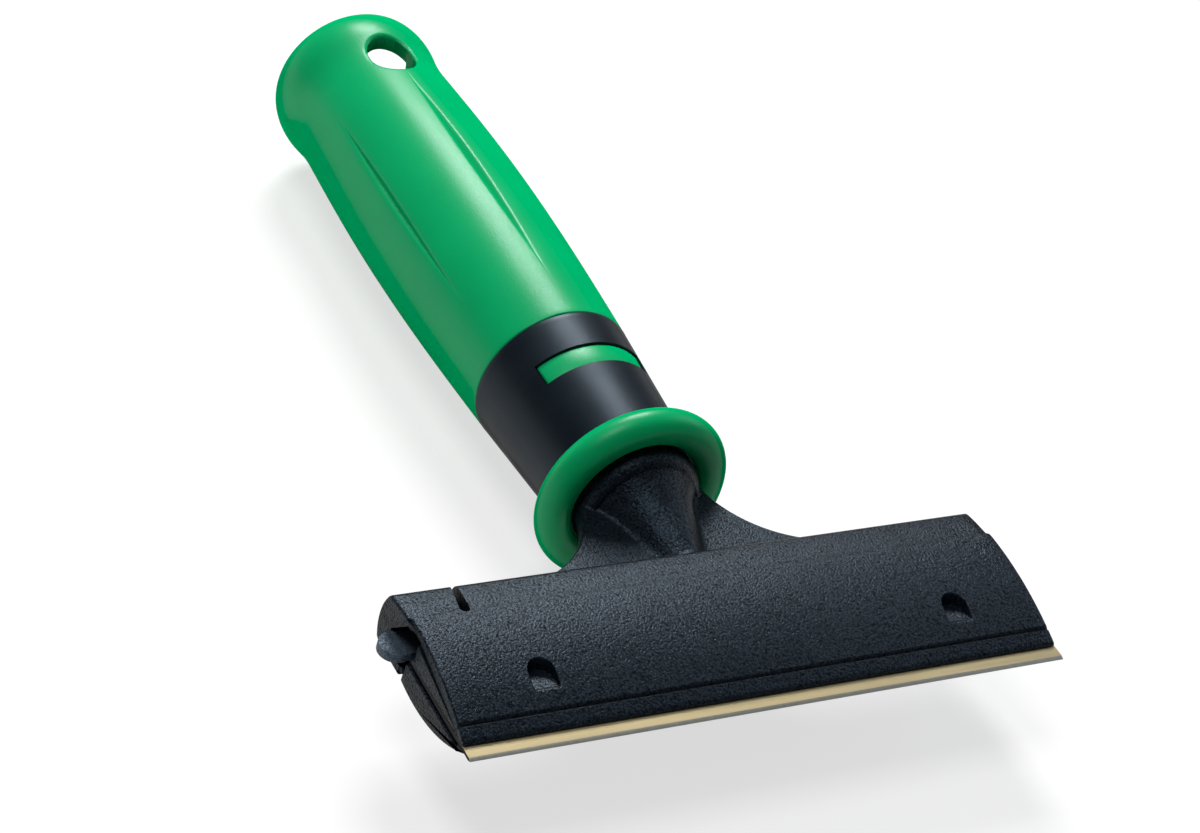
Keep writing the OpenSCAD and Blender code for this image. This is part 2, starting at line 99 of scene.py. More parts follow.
class ScraperLengths(bpy.types.PropertyGroup):
    """Lengths of the visible pieces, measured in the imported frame."""
    joint_r: length("Joint radius", "Radius where the grip meets the collar", 13.3)
    belly_r: length("Belly radius", "Radius of the grip at its belly", 14.65)
    waist_r: length("Waist radius", "Radius of the grip at its waist", 13.6)
    bead_r: length("Bead radius", "Radius of the bead at the butt end", 14.3)
    butt_r: length("Butt radius", "Outer radius of the flat round the socket mouth", 12.2)
    mouth_r: length("Mouth radius", "Radius of the soft mouth of the socket", 11.2)
    tube_r: length("Tube radius", "Outside radius of the hard tube under the grip", 12.3)
    socket_r: length("Socket radius", "Radius of the pole socket", 11.0)
    y_butt: length("Butt place", "Place of the butt end along the handle", 1.5)
    y_bead: length("Bead place", "Place of the bead's crest", -3.7)
    y_waist: length("Waist place", "Place of the waist", -10.7)
    y_belly: length("Belly place", "Place of the belly", -42.5)
    y_joint: length("Joint place", "Place where the grip meets the collar", -82.0)
    groove_depth: length("Groove depth", "Depth of a finger groove at the belly", 0.6)
    groove_edge: length("Groove edge", "Softness of a finger groove's edges", 0.45)
    hole_r: length("Lock hole half width", "Half the width of the oval lock hole near the butt", 3.9)
    hole_run: length("Lock hole run", "Half the straight part of the oval lock hole", 0.8)
    hole_lining: length("Lock hole lining", "Soft lining of the lock hole", 1.2)
    hole_y: length("Lock hole place", "Place of the lock hole along the handle", -11.5)
    hole_rim: length("Lock hole rim", "Rounding of the lock hole's rim", 0.7)
    y_collar: length("Collar front", "Place of the collar's front end", -110.5)
    collar_r: length("Collar front radius", "Radius of the collar's front end", 11.35)
    spigot_r: length("Spigot radius", "Radius of the neck's spigot inside the collar", 8.4)
    y_spigot: length("Spigot end", "Place of the spigot's rear end", -85.5)
    y_floor: length("Socket floor", "Place of the pole socket's floor", -78.0)
    y_inlay: length("Inlay place", "Place of the inlay's middle", -91.0)
    inlay_w: length("Inlay width", "Width of the inlay along the handle", 4.0)
    inlay_seat: length("Inlay seat", "Depth of the inlay's seat in the collar", 1.3)
    inlay_sink: length("Inlay sink", "How far the inlay's face lies below the collar", 0.35)
    ring_y: length("Ring place", "Place of the finger ring's middle", -109.5)
    ring_r: length("Ring radius", "Radius of the circle in the middle of the ring's section", 13.1)
    ring_tube_r: length("Ring section", "Radius of the ring's round section", 2.8)
    base_rad: length("Base radius", "Radius of the neck's round base", 10.0)
    base_l: length("Base length", "Length of the neck's round base in front of the collar", 3.4)
    base_r: length("Base rounding", "Rounding of the base's front edge", 2.2)
    neck_r: length("Neck radius", "Radius of the neck's cone at the collar", 8.8)
    nose_r: length("Nose radius", "Radius of the neck's cone at the head", 3.4)
    flare_r: length("Flare radius", "Radius of the webs' flares", 18.5)
    flare_x: length("Flare reach", "Distance of a flare's centre from the middle", 28.9)
    flare_y: length("Flare place", "Place of the flares' centres along the handle", -108.3)
    web_half: length("Half web", "Half the thickness of a web", 1.7)
    web_blend: length("Web blend", "Softness of the valleys between cone and webs", 0.9)
    half_w: length("Half width", "Half the width of the head", 50.0)
    y_rear: length("Rear place", "Place of the head's rear face", -127.5)
    y_lip: length("Lip place", "Place of the upper shell's front lip", -154.9)
    y_crown: length("Crown place", "Place of the upper shell's crown", -136.5)
    crown_h: length("Crown height", "Height of the crown above the blade plane", 5.5)
    lip_h: length("Lip height", "Height of the front lip's top above the blade plane", 0.9)
    rear_r: length("Rear radius", "Radius of the rounded rear face", 8.0)
    y_block: length("Block front", "Place of the rear block's front", -136.3)
    block_h: length("Block depth", "Depth of the rear block below the blade plane", 4.1)
    y_step: length("Shoulder place", "Place of the shoulders and of the upper surface's step", -134.7)
    top_step: length("Top step", "Step of the upper surface at the shoulders", 0.15)
    groove_y: length("Lip groove place", "Place of the fine groove along the front lip", -152.5)
    groove_w: length("Lip groove width", "Width of the fine groove along the front lip", 0.7)
    window_x: length("Window place", "Distance of a window from the middle of the head", 35.0)
    window_w: length("Window width", "Width of a window", 4.0)
    window_l: length("Window length", "Length of a window", 5.0)
    window_y: length("Window rear", "Place of a window's rear edge", -144.9)
    window_h: length("Window depth", "Depth of a window at its rear edge", 2.2)
    slot_x: length("Teardrop place", "Place of the teardrop slot along the head", -40.8)
    slot_l: length("Teardrop length", "Length of the teardrop slot", 7.5)
    slot_w: length("Teardrop width", "Width of the teardrop slot at its round end", 1.6)
    slot_mouth: length("Teardrop mouth", "Width of the teardrop slot at the rear edge", 0.7)
    keel_h: length("Keel depth", "Depth of the lower shell below the blade plane", 5.3)
    y_keel: length("Keel place", "Place of the lower shell's deepest line", -141.0)
    blade_half: length("Half blade", "Half the thickness of the blade", 0.25)
    y_edge: length("Edge place", "Place of the blade's cutting edge", -157.4)
    y_back: length("Blade back", "Place of the blade's back", -138.4)
    bevel_w: length("Bevel width", "Width of the blade's ground bevel", 0.6)
    scoop_l: length("Scoop length", "Length of the thumb scoop over the tab", 7.4)
    scoop_depth: length("Scoop depth", "Depth of the thumb scoop in the left end", 4.0)
    tab_w: length("Tab width", "Width of the thumb tab", 5.0)
    tab_out: length("Tab reach", "How far the thumb tab stands out of the head", 3.4)
    arm_w: length("Arm width", "Width of the tab's spring arm", 4.6)
    y_arm: length("Arm place", "Place of the spring arm along the handle", -134.2)
    screw_head_r: length("Screw head radius", "Radius of the neck screw's head", 4.5)
    screw_r: length("Screw radius", "Radius of the neck screw's shank", 2.25)


class ScraperForms(bpy.types.PropertyGroup):
    """Counts and angles of the visible pieces."""
    grooves: IntProperty(name="Grooves", description="Finger grooves round the grip", default=6, min=1, max=12)
    groove_angle: FloatProperty(name="Groove angle", description="Half angle of a finger groove's section",
                                default=math.radians(52), subtype="ANGLE")
    inlay_angle: FloatProperty(name="Inlay angle", description="Angle that the inlay covers round the collar",
                               default=math.radians(90), subtype="ANGLE")
    slot_lean: FloatProperty(name="Teardrop lean", description="Lean of the teardrop slot",
                             default=math.radians(9), subtype="ANGLE")
    right_lean: FloatProperty(name="Right lean", description="Lean of the head's right end",
                              default=math.radians(13), subtype="ANGLE")


class ScraperColours(bpy.types.PropertyGroup):
    """Colours of the finishes."""
    soft_green: colour("Soft green", "Moulded soft grip, ring and inlay", "#009c5d")
    grained_black: colour("Grained black", "Spark-eroded nylon of the head", "#0a0f15")
    # The tab's lighter grey is painted light: it stands in for light falling on the tab's top
    tab_grey_painted_light: colour("Tab grey with painted light", "Thumb tab nylon, lightened as painted light on its top", "#3a444e")
    smooth_black: colour("Smooth black", "Smooth nylon of the collar and tray", "#0c1319")
    lacquer: colour("Lacquer", "Lacquered flat of the blade", "#d3c298")
    bare_steel: colour("Bare steel", "Ground bevel of the blade", "#a9a79e")
    # The near-black of the sheared ends is painted shade at the blade's ends
    sheared_painted_shade: colour("Sheared steel, painted shade", "Sheared ends of the blade, drawn near-black as painted shade", "#1d1d1d")
    zinc: colour("Zinc", "Plated neck screw", "#b4b8bc")
    floor: colour("Floor", "Studio floor", "#f4f4f3")


def in_mm(group):
    """The group's lengths as plain millimetres."""
    return SimpleNamespace(**{key: getattr(group, key) / MM for key in type(group).__annotations__})


def add_node(tree, kind, settings=None, links=None):
    """Adds a node, applies its settings, and sets or links its inputs by name or number."""
    made = tree.nodes.new(kind)
    for key, value in (settings or {}).items():
        setattr(made, key, value)
    for key, value in (links or {}).items():
        socket = made.inputs[key]
        if isinstance(value, bpy.types.NodeSocket):
            tree.links.new(value, socket)
        else:
            socket.default_value = value
    return made


# Materials

# Cool sheen of the two black nylons
SHEEN = linear("#b2d2ec")


def empty_material(name):
    """A material without nodes, the function that adds one to it, and the place on the object for its patterns."""
    made = bpy.data.materials.new(name)
    made.use_nodes = True
    made.node_tree.nodes.clear()
    node = partial(add_node, made.node_tree)
    return made, node, node("ShaderNodeTexCoord").outputs["Object"]


def shade_of(value, factor):
    """The colour darkened or lightened by a factor."""
    return tuple(min(1.0, c * factor) for c in value[:3]) + (1.0,)


def surface(made, node, tone, rough=None, bump=None, inputs=None):
    """Ends a material with its shader. Tone is a pattern, a colour and two shades of it; rough is a pattern and two
    values; bump is a pattern, a strength and a depth in millimetres; inputs are the shader's other values."""
    pattern, base, dark, light = tone
    mixed = node("ShaderNodeMix", {"data_type": "RGBA"}, {
        "Factor": pattern, 6: shade_of(base, dark), 7: shade_of(base, light)})
    links = {"Base Color": mixed.outputs[2], **(inputs or {})}
    if rough:
        pattern, low, high = rough
        # Noise seldom leaves the range from 0.3 to 0.7
        ranged = node("ShaderNodeMapRange", None, {
            "Value": pattern, "From Min": 0.3, "From Max": 0.7, "To Min": low, "To Max": high})
        links["Roughness"] = ranged.outputs["Result"]
    if bump:
        pattern, strength, depth = bump
        bumped = node("ShaderNodeBump", None, {"Height": pattern, "Strength": strength, "Distance": depth * MM})
        links["Normal"] = bumped.outputs["Normal"]
    shader = node("ShaderNodeBsdfPrincipled", None, links)
    node("ShaderNodeOutputMaterial", None, {"Surface": shader.outputs["BSDF"]})
    return made


def moulded_tpe(colours):
    """Soft thermoplastic rubber from a satin mould: broad pale sheen, faint cloudy tone, dry fine skin."""
    made, node, place = empty_material("Moulded satin TPE")
    # Flow clouds about 14 mm across, and a skin of 0.3 mm, drawn coarser than the real 0.05 mm to show
    clouds = node("ShaderNodeTexNoise", None, {"Vector": place, "Scale": 1 / (14 * MM), "Detail": 3.0})
    skin = node("ShaderNodeTexNoise", None, {"Vector": place, "Scale": 1 / (0.3 * MM), "Detail": 2.0})
    # The matt skin keeps its colour at a grazing angle, where a polished one would mirror the floor
    facing = node("ShaderNodeLayerWeight", None, {"Blend": 0.5}).outputs["Facing"]
    level = node("ShaderNodeMapRange", None, {
        "Value": facing, "From Min": 0.4, "From Max": 0.58, "To Min": 0.17, "To Max": 0.0})
    return surface(
        made, node, tone=(clouds.outputs["Fac"], colours.soft_green, 0.9, 1.1),
        rough=(skin.outputs["Fac"], 0.3, 0.38), bump=(skin.outputs["Fac"], 0.35, 0.05),
        inputs={"IOR": 1.5, "Specular IOR Level": level.outputs["Result"], "Specular Tint": linear("#f2f6ff")})


def tab_nylon_painted_light(colours):
    """The head's grained nylon in a lighter grey for the thumb tab: painted light that stands in for light falling on
    the tab's top.
    """
    return spark_eroded_nylon(colours, "Tab nylon with painted light", colours.tab_grey_painted_light)


def spark_eroded_nylon(colours, name="Spark-eroded nylon", black=None):
    """Glass-filled nylon from a spark-eroded mould: even pebbled grain that scatters light into a grey bloom."""
    made, node, place = empty_material(name)
    # Pebbles of about 0.33 mm with pits between them, and handling haze about 20 mm across
    pebbles = node("ShaderNodeTexNoise", None, {
        "Vector": place, "Scale": 1 / (0.33 * MM), "Detail": 3.0, "Roughness": 0.6})
    tooth = node("ShaderNodeTexVoronoi", {"feature": "SMOOTH_F1"}, {"Vector": place, "Scale": 1 / (0.33 * MM)})
    haze = node("ShaderNodeTexNoise", None, {"Vector": place, "Scale": 1 / (20 * MM), "Detail": 4.0})
    grain = node("ShaderNodeMath", {"operation": "MULTIPLY_ADD"}, {
        0: tooth.outputs["Distance"], 1: -0.6, 2: pebbles.outputs["Fac"]}).outputs[0]
    crests = node("ShaderNodeMapRange", None, {"Value": grain, "From Min": -0.1, "From Max": 0.5})
    # Pits between the pebbles trap the light
    glint = node("ShaderNodeMapRange", None, {
        "Value": grain, "From Min": 0.0, "From Max": 0.42, "To Min": 0.05, "To Max": 0.46})
    # The grain shadows itself at a grazing angle
    facing = node("ShaderNodeLayerWeight", None, {"Blend": 0.5}).outputs["Facing"]
    dull = node("ShaderNodeMapRange", None, {
        "Value": facing, "From Min": 0.44, "From Max": 0.58, "To Min": 1.0, "To Max": 0.3})
    level = node("ShaderNodeMath", {"operation": "MULTIPLY"}, {0: glint.outputs["Result"], 1: dull.outputs["Result"]})
    return surface(
        made, node, tone=(crests.outputs["Result"], black or colours.grained_black, 0.5, 1.7),
        rough=(haze.outputs["Fac"], 0.36, 0.44), bump=(grain, 0.8, 0.14),
        inputs={"IOR": 1.52, "Specular IOR Level": level.outputs[0], "Specular Tint": SHEEN})


def smooth_nylon(colours):
    """Nylon from a fine satin mould: smoother than the grained head, with a soft sheen and faint flow marks."""
    made, node, place = empty_material("Smooth moulded nylon")
    # Flow marks about 9 mm across and a satin of 0.35 mm, drawn coarser than the real 0.1 mm to show
    flow = node("ShaderNodeTexNoise", None, {"Vector": place, "Scale": 1 / (9 * MM), "Detail": 4.0})
    satin = node("ShaderNodeTexNoise", None, {"Vector": place, "Scale": 1 / (0.35 * MM), "Detail": 2.0})
    # The satin dulls at a grazing angle
    facing = node("ShaderNodeLayerWeight", None, {"Blend": 0.5}).outputs["Facing"]
    level = node("ShaderNodeMapRange", None, {
        "Value": facing, "From Min": 0.46, "From Max": 0.78, "To Min": 0.24, "To Max": 0.02})
    return surface(
        made, node, tone=(flow.outputs["Fac"], colours.smooth_black, 0.75, 1.25),
        rough=(flow.outputs["Fac"], 0.36, 0.46), bump=(satin.outputs["Fac"], 0.2, 0.04),
        inputs={"IOR": 1.52, "Specular IOR Level": level.outputs["Result"], "Specular Tint": SHEEN})


def lacquered_steel(colours):
    """Rolled carbon steel under warm rust-proof lacquer: golden, streaked along the strip, glossy but no mirror."""
    made, node, place = empty_material("Lacquered carbon steel")
    # Rolling streaks 30 mm long and 0.15 mm wide run along the strip, and the lacquer pools about 18 mm across
    rolled = node("ShaderNodeMapping", None, {
        "Vector": place, "Scale": (1 / (30 * MM), 1 / (0.15 * MM), 1 / (0.15 * MM))})
    streaks = node("ShaderNodeTexNoise", None, {"Vector": rolled.outputs["Vector"], "Scale": 1.0, "Detail": 3.0})
    pools = node("ShaderNodeTexNoise", None, {"Vector": place, "Scale": 1 / (18 * MM), "Detail": 2.0})
    return surface(
        made, node, tone=(pools.outputs["Fac"], colours.lacquer, 0.82, 1.12),
        rough=(streaks.outputs["Fac"], 0.38, 0.5), bump=(streaks.outputs["Fac"], 0.15, 0.01),
        inputs={"Metallic": 1.0})


def ground_steel(colours):
    """Bare ground bevel of carbon steel: cool grey with fine scratches across the edge."""
    made, node, place = empty_material("Ground carbon steel")
    # Grinding scratches 0.12 mm apart, drawn coarser than the real 0.02 mm to show
    ground = node("ShaderNodeMapping", None, {
        "Vector": place, "Scale": (1 / (0.12 * MM), 1 / (3 * MM), 1 / (3 * MM))})
    scratches = node("ShaderNodeTexNoise", None, {"Vector": ground.outputs["Vector"], "Scale": 1.0, "Detail": 2.0})
    return surface(
        made, node, tone=(scratches.outputs["Fac"], colours.bare_steel, 0.92, 1.05),
        rough=(scratches.outputs["Fac"], 0.34, 0.42), inputs={"Metallic": 1.0})


def sheared_steel_painted_shade(colours):
    """Sheared ends of the strip, drawn as near-black matt steel with a torn grain: painted shade, so the blade's end
    hardly shows.
    """
    made, node, place = empty_material("Sheared carbon steel, painted shade")
    # Torn grain of 0.1 mm across the thickness
    grain = node("ShaderNodeTexNoise", None, {"Vector": place, "Scale": 1 / (0.1 * MM), "Detail": 2.0})
    return surface(
        made, node, tone=(grain.outputs["Fac"], colours.sheared_painted_shade, 0.7, 1.3),
        inputs={"Roughness": 0.7, "Specular IOR Level": 0.15})


def zinc_plate(colours):
    """Zinc-plated steel screw: pale grey metal with a slightly cloudy plating."""
    made, node, place = empty_material("Zinc-plated steel")
    # Plating clouds about 1.5 mm across
    clouds = node("ShaderNodeTexNoise", None, {"Vector": place, "Scale": 1 / (1.5 * MM), "Detail": 3.0})
    return surface(
        made, node, tone=(clouds.outputs["Fac"], colours.zinc, 0.85, 1.1),
        rough=(clouds.outputs["Fac"], 0.28, 0.42), inputs={"Metallic": 1.0})


def studio_paper(colours):
    """Seamless paper under the object: matt and near white, lifted to white for the eye, and it keeps the shadow."""
    made, node, place = empty_material("Studio paper")
    # Paper tooth about 40 mm across, only a breath of tone
    tooth = node("ShaderNodeTexNoise", None, {"Vector": place, "Scale": 1 / (40 * MM), "Detail": 2.0})
    paper = colours.floor
    tone = node("ShaderNodeMix", {"data_type": "RGBA"}, {
        "Factor": tooth.outputs["Fac"], 6: shade_of(paper, 0.99), 7: shade_of(paper, 1.0)})
    matt = node("ShaderNodeBsdfDiffuse", None, {"Color": tone.outputs[2]})
    white = node("ShaderNodeEmission", None, {"Color": linear("#ffffff"), "Strength": 1.0})
    path = node("ShaderNodeLightPath").outputs
    seen = node("ShaderNodeMath", {"operation": "MAXIMUM"}, {0: path["Is Camera Ray"], 1: path["Is Glossy Ray"]})
    seen = node("ShaderNodeMath", {"operation": "MAXIMUM"}, {
        0: seen.outputs[0], 1: path["Is Transmission Ray"]})
    # The lift whitens the lit paper and still lets the shadow through
    lifted = node("ShaderNodeMath", {"operation": "MULTIPLY"}, {0: seen.outputs[0], 1: 0.68})
    shader = node("ShaderNodeMixShader", None, {
        0: lifted.outputs[0], 1: matt.outputs["BSDF"], 2: white.outputs["Emission"]})
    node("ShaderNodeOutputMaterial", None, {"Surface": shader.outputs["Shader"]})
    return made


FINISHES = {
    "soft": moulded_tpe, "grained": spark_eroded_nylon, "tab_painted_light": tab_nylon_painted_light,
    "smooth": smooth_nylon, "lacquered": lacquered_steel, "ground": ground_steel,
    "sheared_painted_shade": sheared_steel_painted_shade, "plated": zinc_plate, "paper": studio_paper,
}
made_finishes = {}


def finish(kind):
    """The material of one kind, made on its first use."""
    if kind not in made_finishes:
        made_finishes[kind] = FINISHES[kind](bpy.context.scene.scraper_colours)
    return made_finishes[kind]


# Meshes

def mesh_object(name, points, faces, kind=None):
    """An object from points in millimetres, merged and with its faces turned outwards."""
    mesh = bpy.data.meshes.new(name)
    mesh.from_pydata([tuple(MM * c for c in p) for p in points], [], faces)
    piece = bpy.data.objects.new(name, mesh)
    bpy.context.scene.collection.objects.link(piece)
    if kind:
        mesh.materials.append(finish(kind))
    if faces:
        tidy(piece)
    return piece


def tidy(piece):
    """Merges doubles, turns the faces outwards, and stops if the mesh isn't closed."""
    work = bmesh.new()
    work.from_mesh(piece.data)
    nearby = 0.0005 * MM
    bmesh.ops.remove_doubles(work, verts=work.verts, dist=nearby)
    bmesh.ops.dissolve_degenerate(work, edges=work.edges, dist=nearby)
    bmesh.ops.recalc_face_normals(work, faces=work.faces)
    open_edges = sum(not edge.is_manifold for edge in work.edges)
    if open_edges:
        work.free()
        raise RuntimeError(f"{piece.name} has {open_edges} open edges")
    if work.calc_volume(signed=True) < 0:
        bmesh.ops.reverse_faces(work, faces=work.faces)
    work.to_mesh(piece.data)
    work.free()


def realise(piece):
    """Replaces the object's mesh by the result of its modifiers, and removes them."""
    bpy.context.view_layer.update()
    graph = bpy.context.evaluated_depsgraph_get()
    mesh = bpy.data.meshes.new_from_object(piece.evaluated_get(graph), depsgraph=graph)
    piece.modifiers.clear()
    piece.data = mesh
    mesh.name = piece.name
    return piece


def combine(piece, other, operation):
    """Joins another solid to the piece, or cuts it away, in the piece's own finish, and removes that solid."""
    other.data.materials.clear()
    for material in piece.data.materials:
        other.data.materials.append(material)
    modifier = piece.modifiers.new("Combine", "BOOLEAN")
    modifier.operation = operation
    modifier.solver = "MANIFOLD"
    modifier.object = other
    realise(piece)
    bpy.data.objects.remove(other, do_unlink=True)
    return piece


def show(piece, body, slot, *nodes):
    """Shades a finished piece, ties it to its body, and hides the imported parts it stands for; the finish slot it is
    given is not used.
    """
    tidy(piece)
    for polygon in piece.data.polygons:
        polygon.use_smooth = True
    piece.data.set_sharp_from_angle(angle=CRISP)
    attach(piece, body)
    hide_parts(*nodes)


def inward(loop):
    """Inset of each corner of a closed loop for a wall moved in by one unit."""
    loop = np.asarray(loop, float)
    ahead = np.roll(loop, -1, 0) - loop
    ahead /= np.linalg.norm(ahead, axis=1)[:, None]
    behind = np.roll(ahead, 1, 0)
    turn = 1.0 if area(loop) > 0 else -1.0
    normal_a = np.stack([-ahead[:, 1], ahead[:, 0]], 1) * turn
    normal_b = np.stack([-behind[:, 1], behind[:, 0]], 1) * turn
    mean = normal_a + normal_b
    return mean / np.maximum((mean ** 2).sum(1) / 2, 0.5)[:, None]


def area(loop):
    """Signed area of a closed loop."""
    loop = np.asarray(loop, float)
    ahead = np.roll(loop, -1, 0)
    return 0.5 * float((loop[:, 0] * ahead[:, 1] - loop[:, 1] * ahead[:, 0]).sum())


def tube_faces(rows, count):
    """Faces of a closed tube through rows of points, with a cap at each end."""
    faces = [list(range(count)), list(range((rows - 1) * count, rows * count))]
    for low in range(0, (rows - 1) * count, count):
        for i in range(count):
            j = (i + 1) % count
            faces.append([low + i, low + j, low + count + j, low + count + i])
    return faces


def swept(name, loop, stations, rounding=0.0, kind=None, place=None):
    """Solid whose section in Y and Z is swept along X, with its two ends rounded."""
    loop = np.asarray(loop, float)
    inset = inward(loop)
    rows = []
    turns = 4 if rounding else 0
    for k in range(turns):
        turn = math.pi / 2 * k / turns
        rows.append((stations[0] + rounding * (1 - math.cos(turn)), rounding * (1 - math.sin(turn))))
    body = [x for x in stations if stations[0] + rounding <= x <= stations[-1] - rounding]
    body = [stations[0] + rounding] + body + [stations[-1] - rounding]
    rows += [(x, 0.0) for x in sorted(set(body))]
    for k in reversed(range(turns)):
        turn = math.pi / 2 * k / turns
        rows.append((stations[-1] - rounding * (1 - math.cos(turn)), rounding * (1 - math.sin(turn))))
    count = len(loop)
    points = []
    for x, moved in rows:
        section = loop + inset * moved
        row = np.column_stack([np.full(count, x), section[:, 0], section[:, 1] + RISE])
        points += (place(row) if place else row).tolist()
    return mesh_object(name, points, tube_faces(len(rows), count), kind)


def block(low, high):
    """Plain block used only to cut or join."""
    (a, b, c), (d, e, f) = low, high
    return swept("block", [(b, c), (e, c), (e, f), (b, f)], [a, d])


def upright(name, outline, low, high, kind=None):
    """Solid whose outline in X and Y stands between two heights."""
    points = [(x, y, z) for z in (low, high) for x, y in outline]
    return mesh_object(name, points, tube_faces(2, len(outline)), kind)


def circle(x, y, radius, count=48, start=0.0, sweep=2 * math.pi):
    """Points of a full circle, or of an arc with both its ends."""
    full = abs(sweep - 2 * math.pi) < 1e-9
    angles = [start + sweep * i / (count if full else count - 1) for i in range(count)]
    return [(x + radius * math.cos(a), y + radius * math.sin(a)) for a in angles]


def softened(piece, width, segments=3):
    """Rounds the crisp edges of a piece."""
    modifier = piece.modifiers.new("Edges", "BEVEL")
    modifier.width = width * MM
    modifier.segments = segments
    modifier.limit_method = "ANGLE"
    modifier.angle_limit = CRISP
    return realise(piece)


def smooth_min(a, b, softness):
    """Smaller of two values with a rounded change from one to the other."""
    near = np.maximum(softness - np.abs(a - b), 0) / softness
    return np.minimum(a, b) - near * near * softness / 4


def steps(start, stop, pitch):
    """Evenly spaced values from start to stop, both kept."""
    return list(np.linspace(start, stop, max(2, int(math.ceil(abs(stop - start) / pitch)) + 1)))


# Turned pieces

# Inputs of the node tree for turned pieces, each with its kind and the value that leaves a piece plain
TURNED_INPUTS = {
    "Points": ("Int", 0), "Segments": ("Int", 0), "Grooves": ("Int", 6), "Groove floor": ("Float", 1.0),
    "Groove slope": ("Float", 0.0), "Groove edge": ("Float", 0.0), "Groove crest": ("Float", 0.0),
    "Groove rise": ("Float", 0.0), "Groove end": ("Float", 1.0), "Hole place": ("Float", 1.0),
    "Hole run": ("Float", 0.0), "Hole radius": ("Float", 0.0), "Hole rim": ("Float", 0.0001),
    "Skin radius": ("Float", 1.0), "Finish": ("Material", None),
}
# Steps of the tree: what each gives, its operation or node, and what it takes, as a name or a number
COUNT_STEPS = (
    ("rows", "ADD", "Points", 1.0),
    ("columns", "ADD", "Segments", 1.0),
    # The sheet's first side counts the section's points
    ("half", "MULTIPLY", "Points", 0.5),
    ("counted", "MULTIPLY_ADD", "first side", "Points", "half"),
    ("whole", "ROUND", "counted"),
    ("index", "FLOORED_MODULO", "whole", "Points"),
    # Its second side runs once round the axis, and crowds at the grooves, where the skin bends sharply
    ("even", "MULTIPLY_ADD", "second side", 2 * math.pi, math.pi),
    ("wave", "MULTIPLY", "even", "Grooves"),
    ("wave", "SINE", "wave"),
    ("crowd", "DIVIDE", -0.7, "Grooves"),
    ("turn", "MULTIPLY_ADD", "wave", "crowd", "even"),
    ("sine", "SINE", "turn"),
    ("cosine", "COSINE", "turn"),
)
GROOVE_STEPS = (
    # Radius of the groove's flanks, straight lines that rise from its floor on both sides
    ("sector", "DIVIDE", math.pi, "Grooves"),
    ("back", "MULTIPLY", "sector", -1.0),
    ("local", "WRAP", "turn", "sector", "back"),
    ("across", "SINE", "local"),
    ("across", "ABSOLUTE", "across"),
    ("rise", "MULTIPLY", "across", "Groove slope"),
    ("up", "COSINE", "local"),
    ("lean", "SUBTRACT", "up", "rise"),
    # The floor rises past the belly, so that the groove fades out, and there is none behind its end
    ("past", "SUBTRACT", "along", "Groove crest"),
    ("past", "MAXIMUM", "past", 0.0),
    ("base", "MULTIPLY_ADD", "past", "Groove rise", "Groove floor"),
    ("ended", "GREATER_THAN", "along", "Groove end"),
    ("base", "ADD", "base", "ended"),
    ("flank", "DIVIDE", "base", "lean"),
    ("grooved", "SMOOTH_MIN", "radius", "flank", "Groove edge"),
    # Where a point lies from the straight middle of the hole
    ("aside", "MULTIPLY", "radius", "sine"),
    ("beyond", "SUBTRACT", "along", "Hole place"),
    ("beyond", "ABSOLUTE", "beyond"),
    ("beyond", "SUBTRACT", "beyond", "Hole run"),
    ("beyond", "MAXIMUM", "beyond", 0.0),
    ("offset", "ShaderNodeCombineXYZ", "aside", "beyond"),
)
RIM_STEPS = (
    # Drop of the rounded rim round the hole, on the upper skin only
    ("outer", "ADD", "Hole radius", "Hole rim"),
    ("bend", "ShaderNodeMapRange", "gap", "outer", "Hole radius"),
    ("arc", "POWER", "bend", 2.0),
    ("arc", "SUBTRACT", 1.0, "arc"),
    ("arc", "SQRT", "arc"),
    ("arc", "SUBTRACT", 1.0, "arc"),
    ("drop", "MULTIPLY", "arc", "Hole rim"),
    ("above", "GREATER_THAN", "cosine", 0.0),
    ("skin", "GREATER_THAN", "radius", "Skin radius"),
    ("drop", "MULTIPLY", "drop", "above"),
    ("drop", "MULTIPLY", "drop", "skin"),
    ("final", "SUBTRACT", "grooved", "drop"),
    ("wide", "MULTIPLY", "final", "sine"),
    ("high", "MULTIPLY", "final", "cosine"),
    ("place", "ShaderNodeCombineXYZ", "wide", "along", "high"),
)


def follow(tree, known, recipe):
    """Adds a recipe's steps to a tree as nodes, and what they give to the known values."""
    for name, step, *takes in recipe:
        links = {i: known.get(take, take) for i, take in enumerate(takes)}
        if step.startswith("ShaderNode"):
            made = add_node(tree, step, None, links)
        else:
            made = add_node(tree, "ShaderNodeMath", {"operation": step}, links)
        known[name] = made.outputs[0]


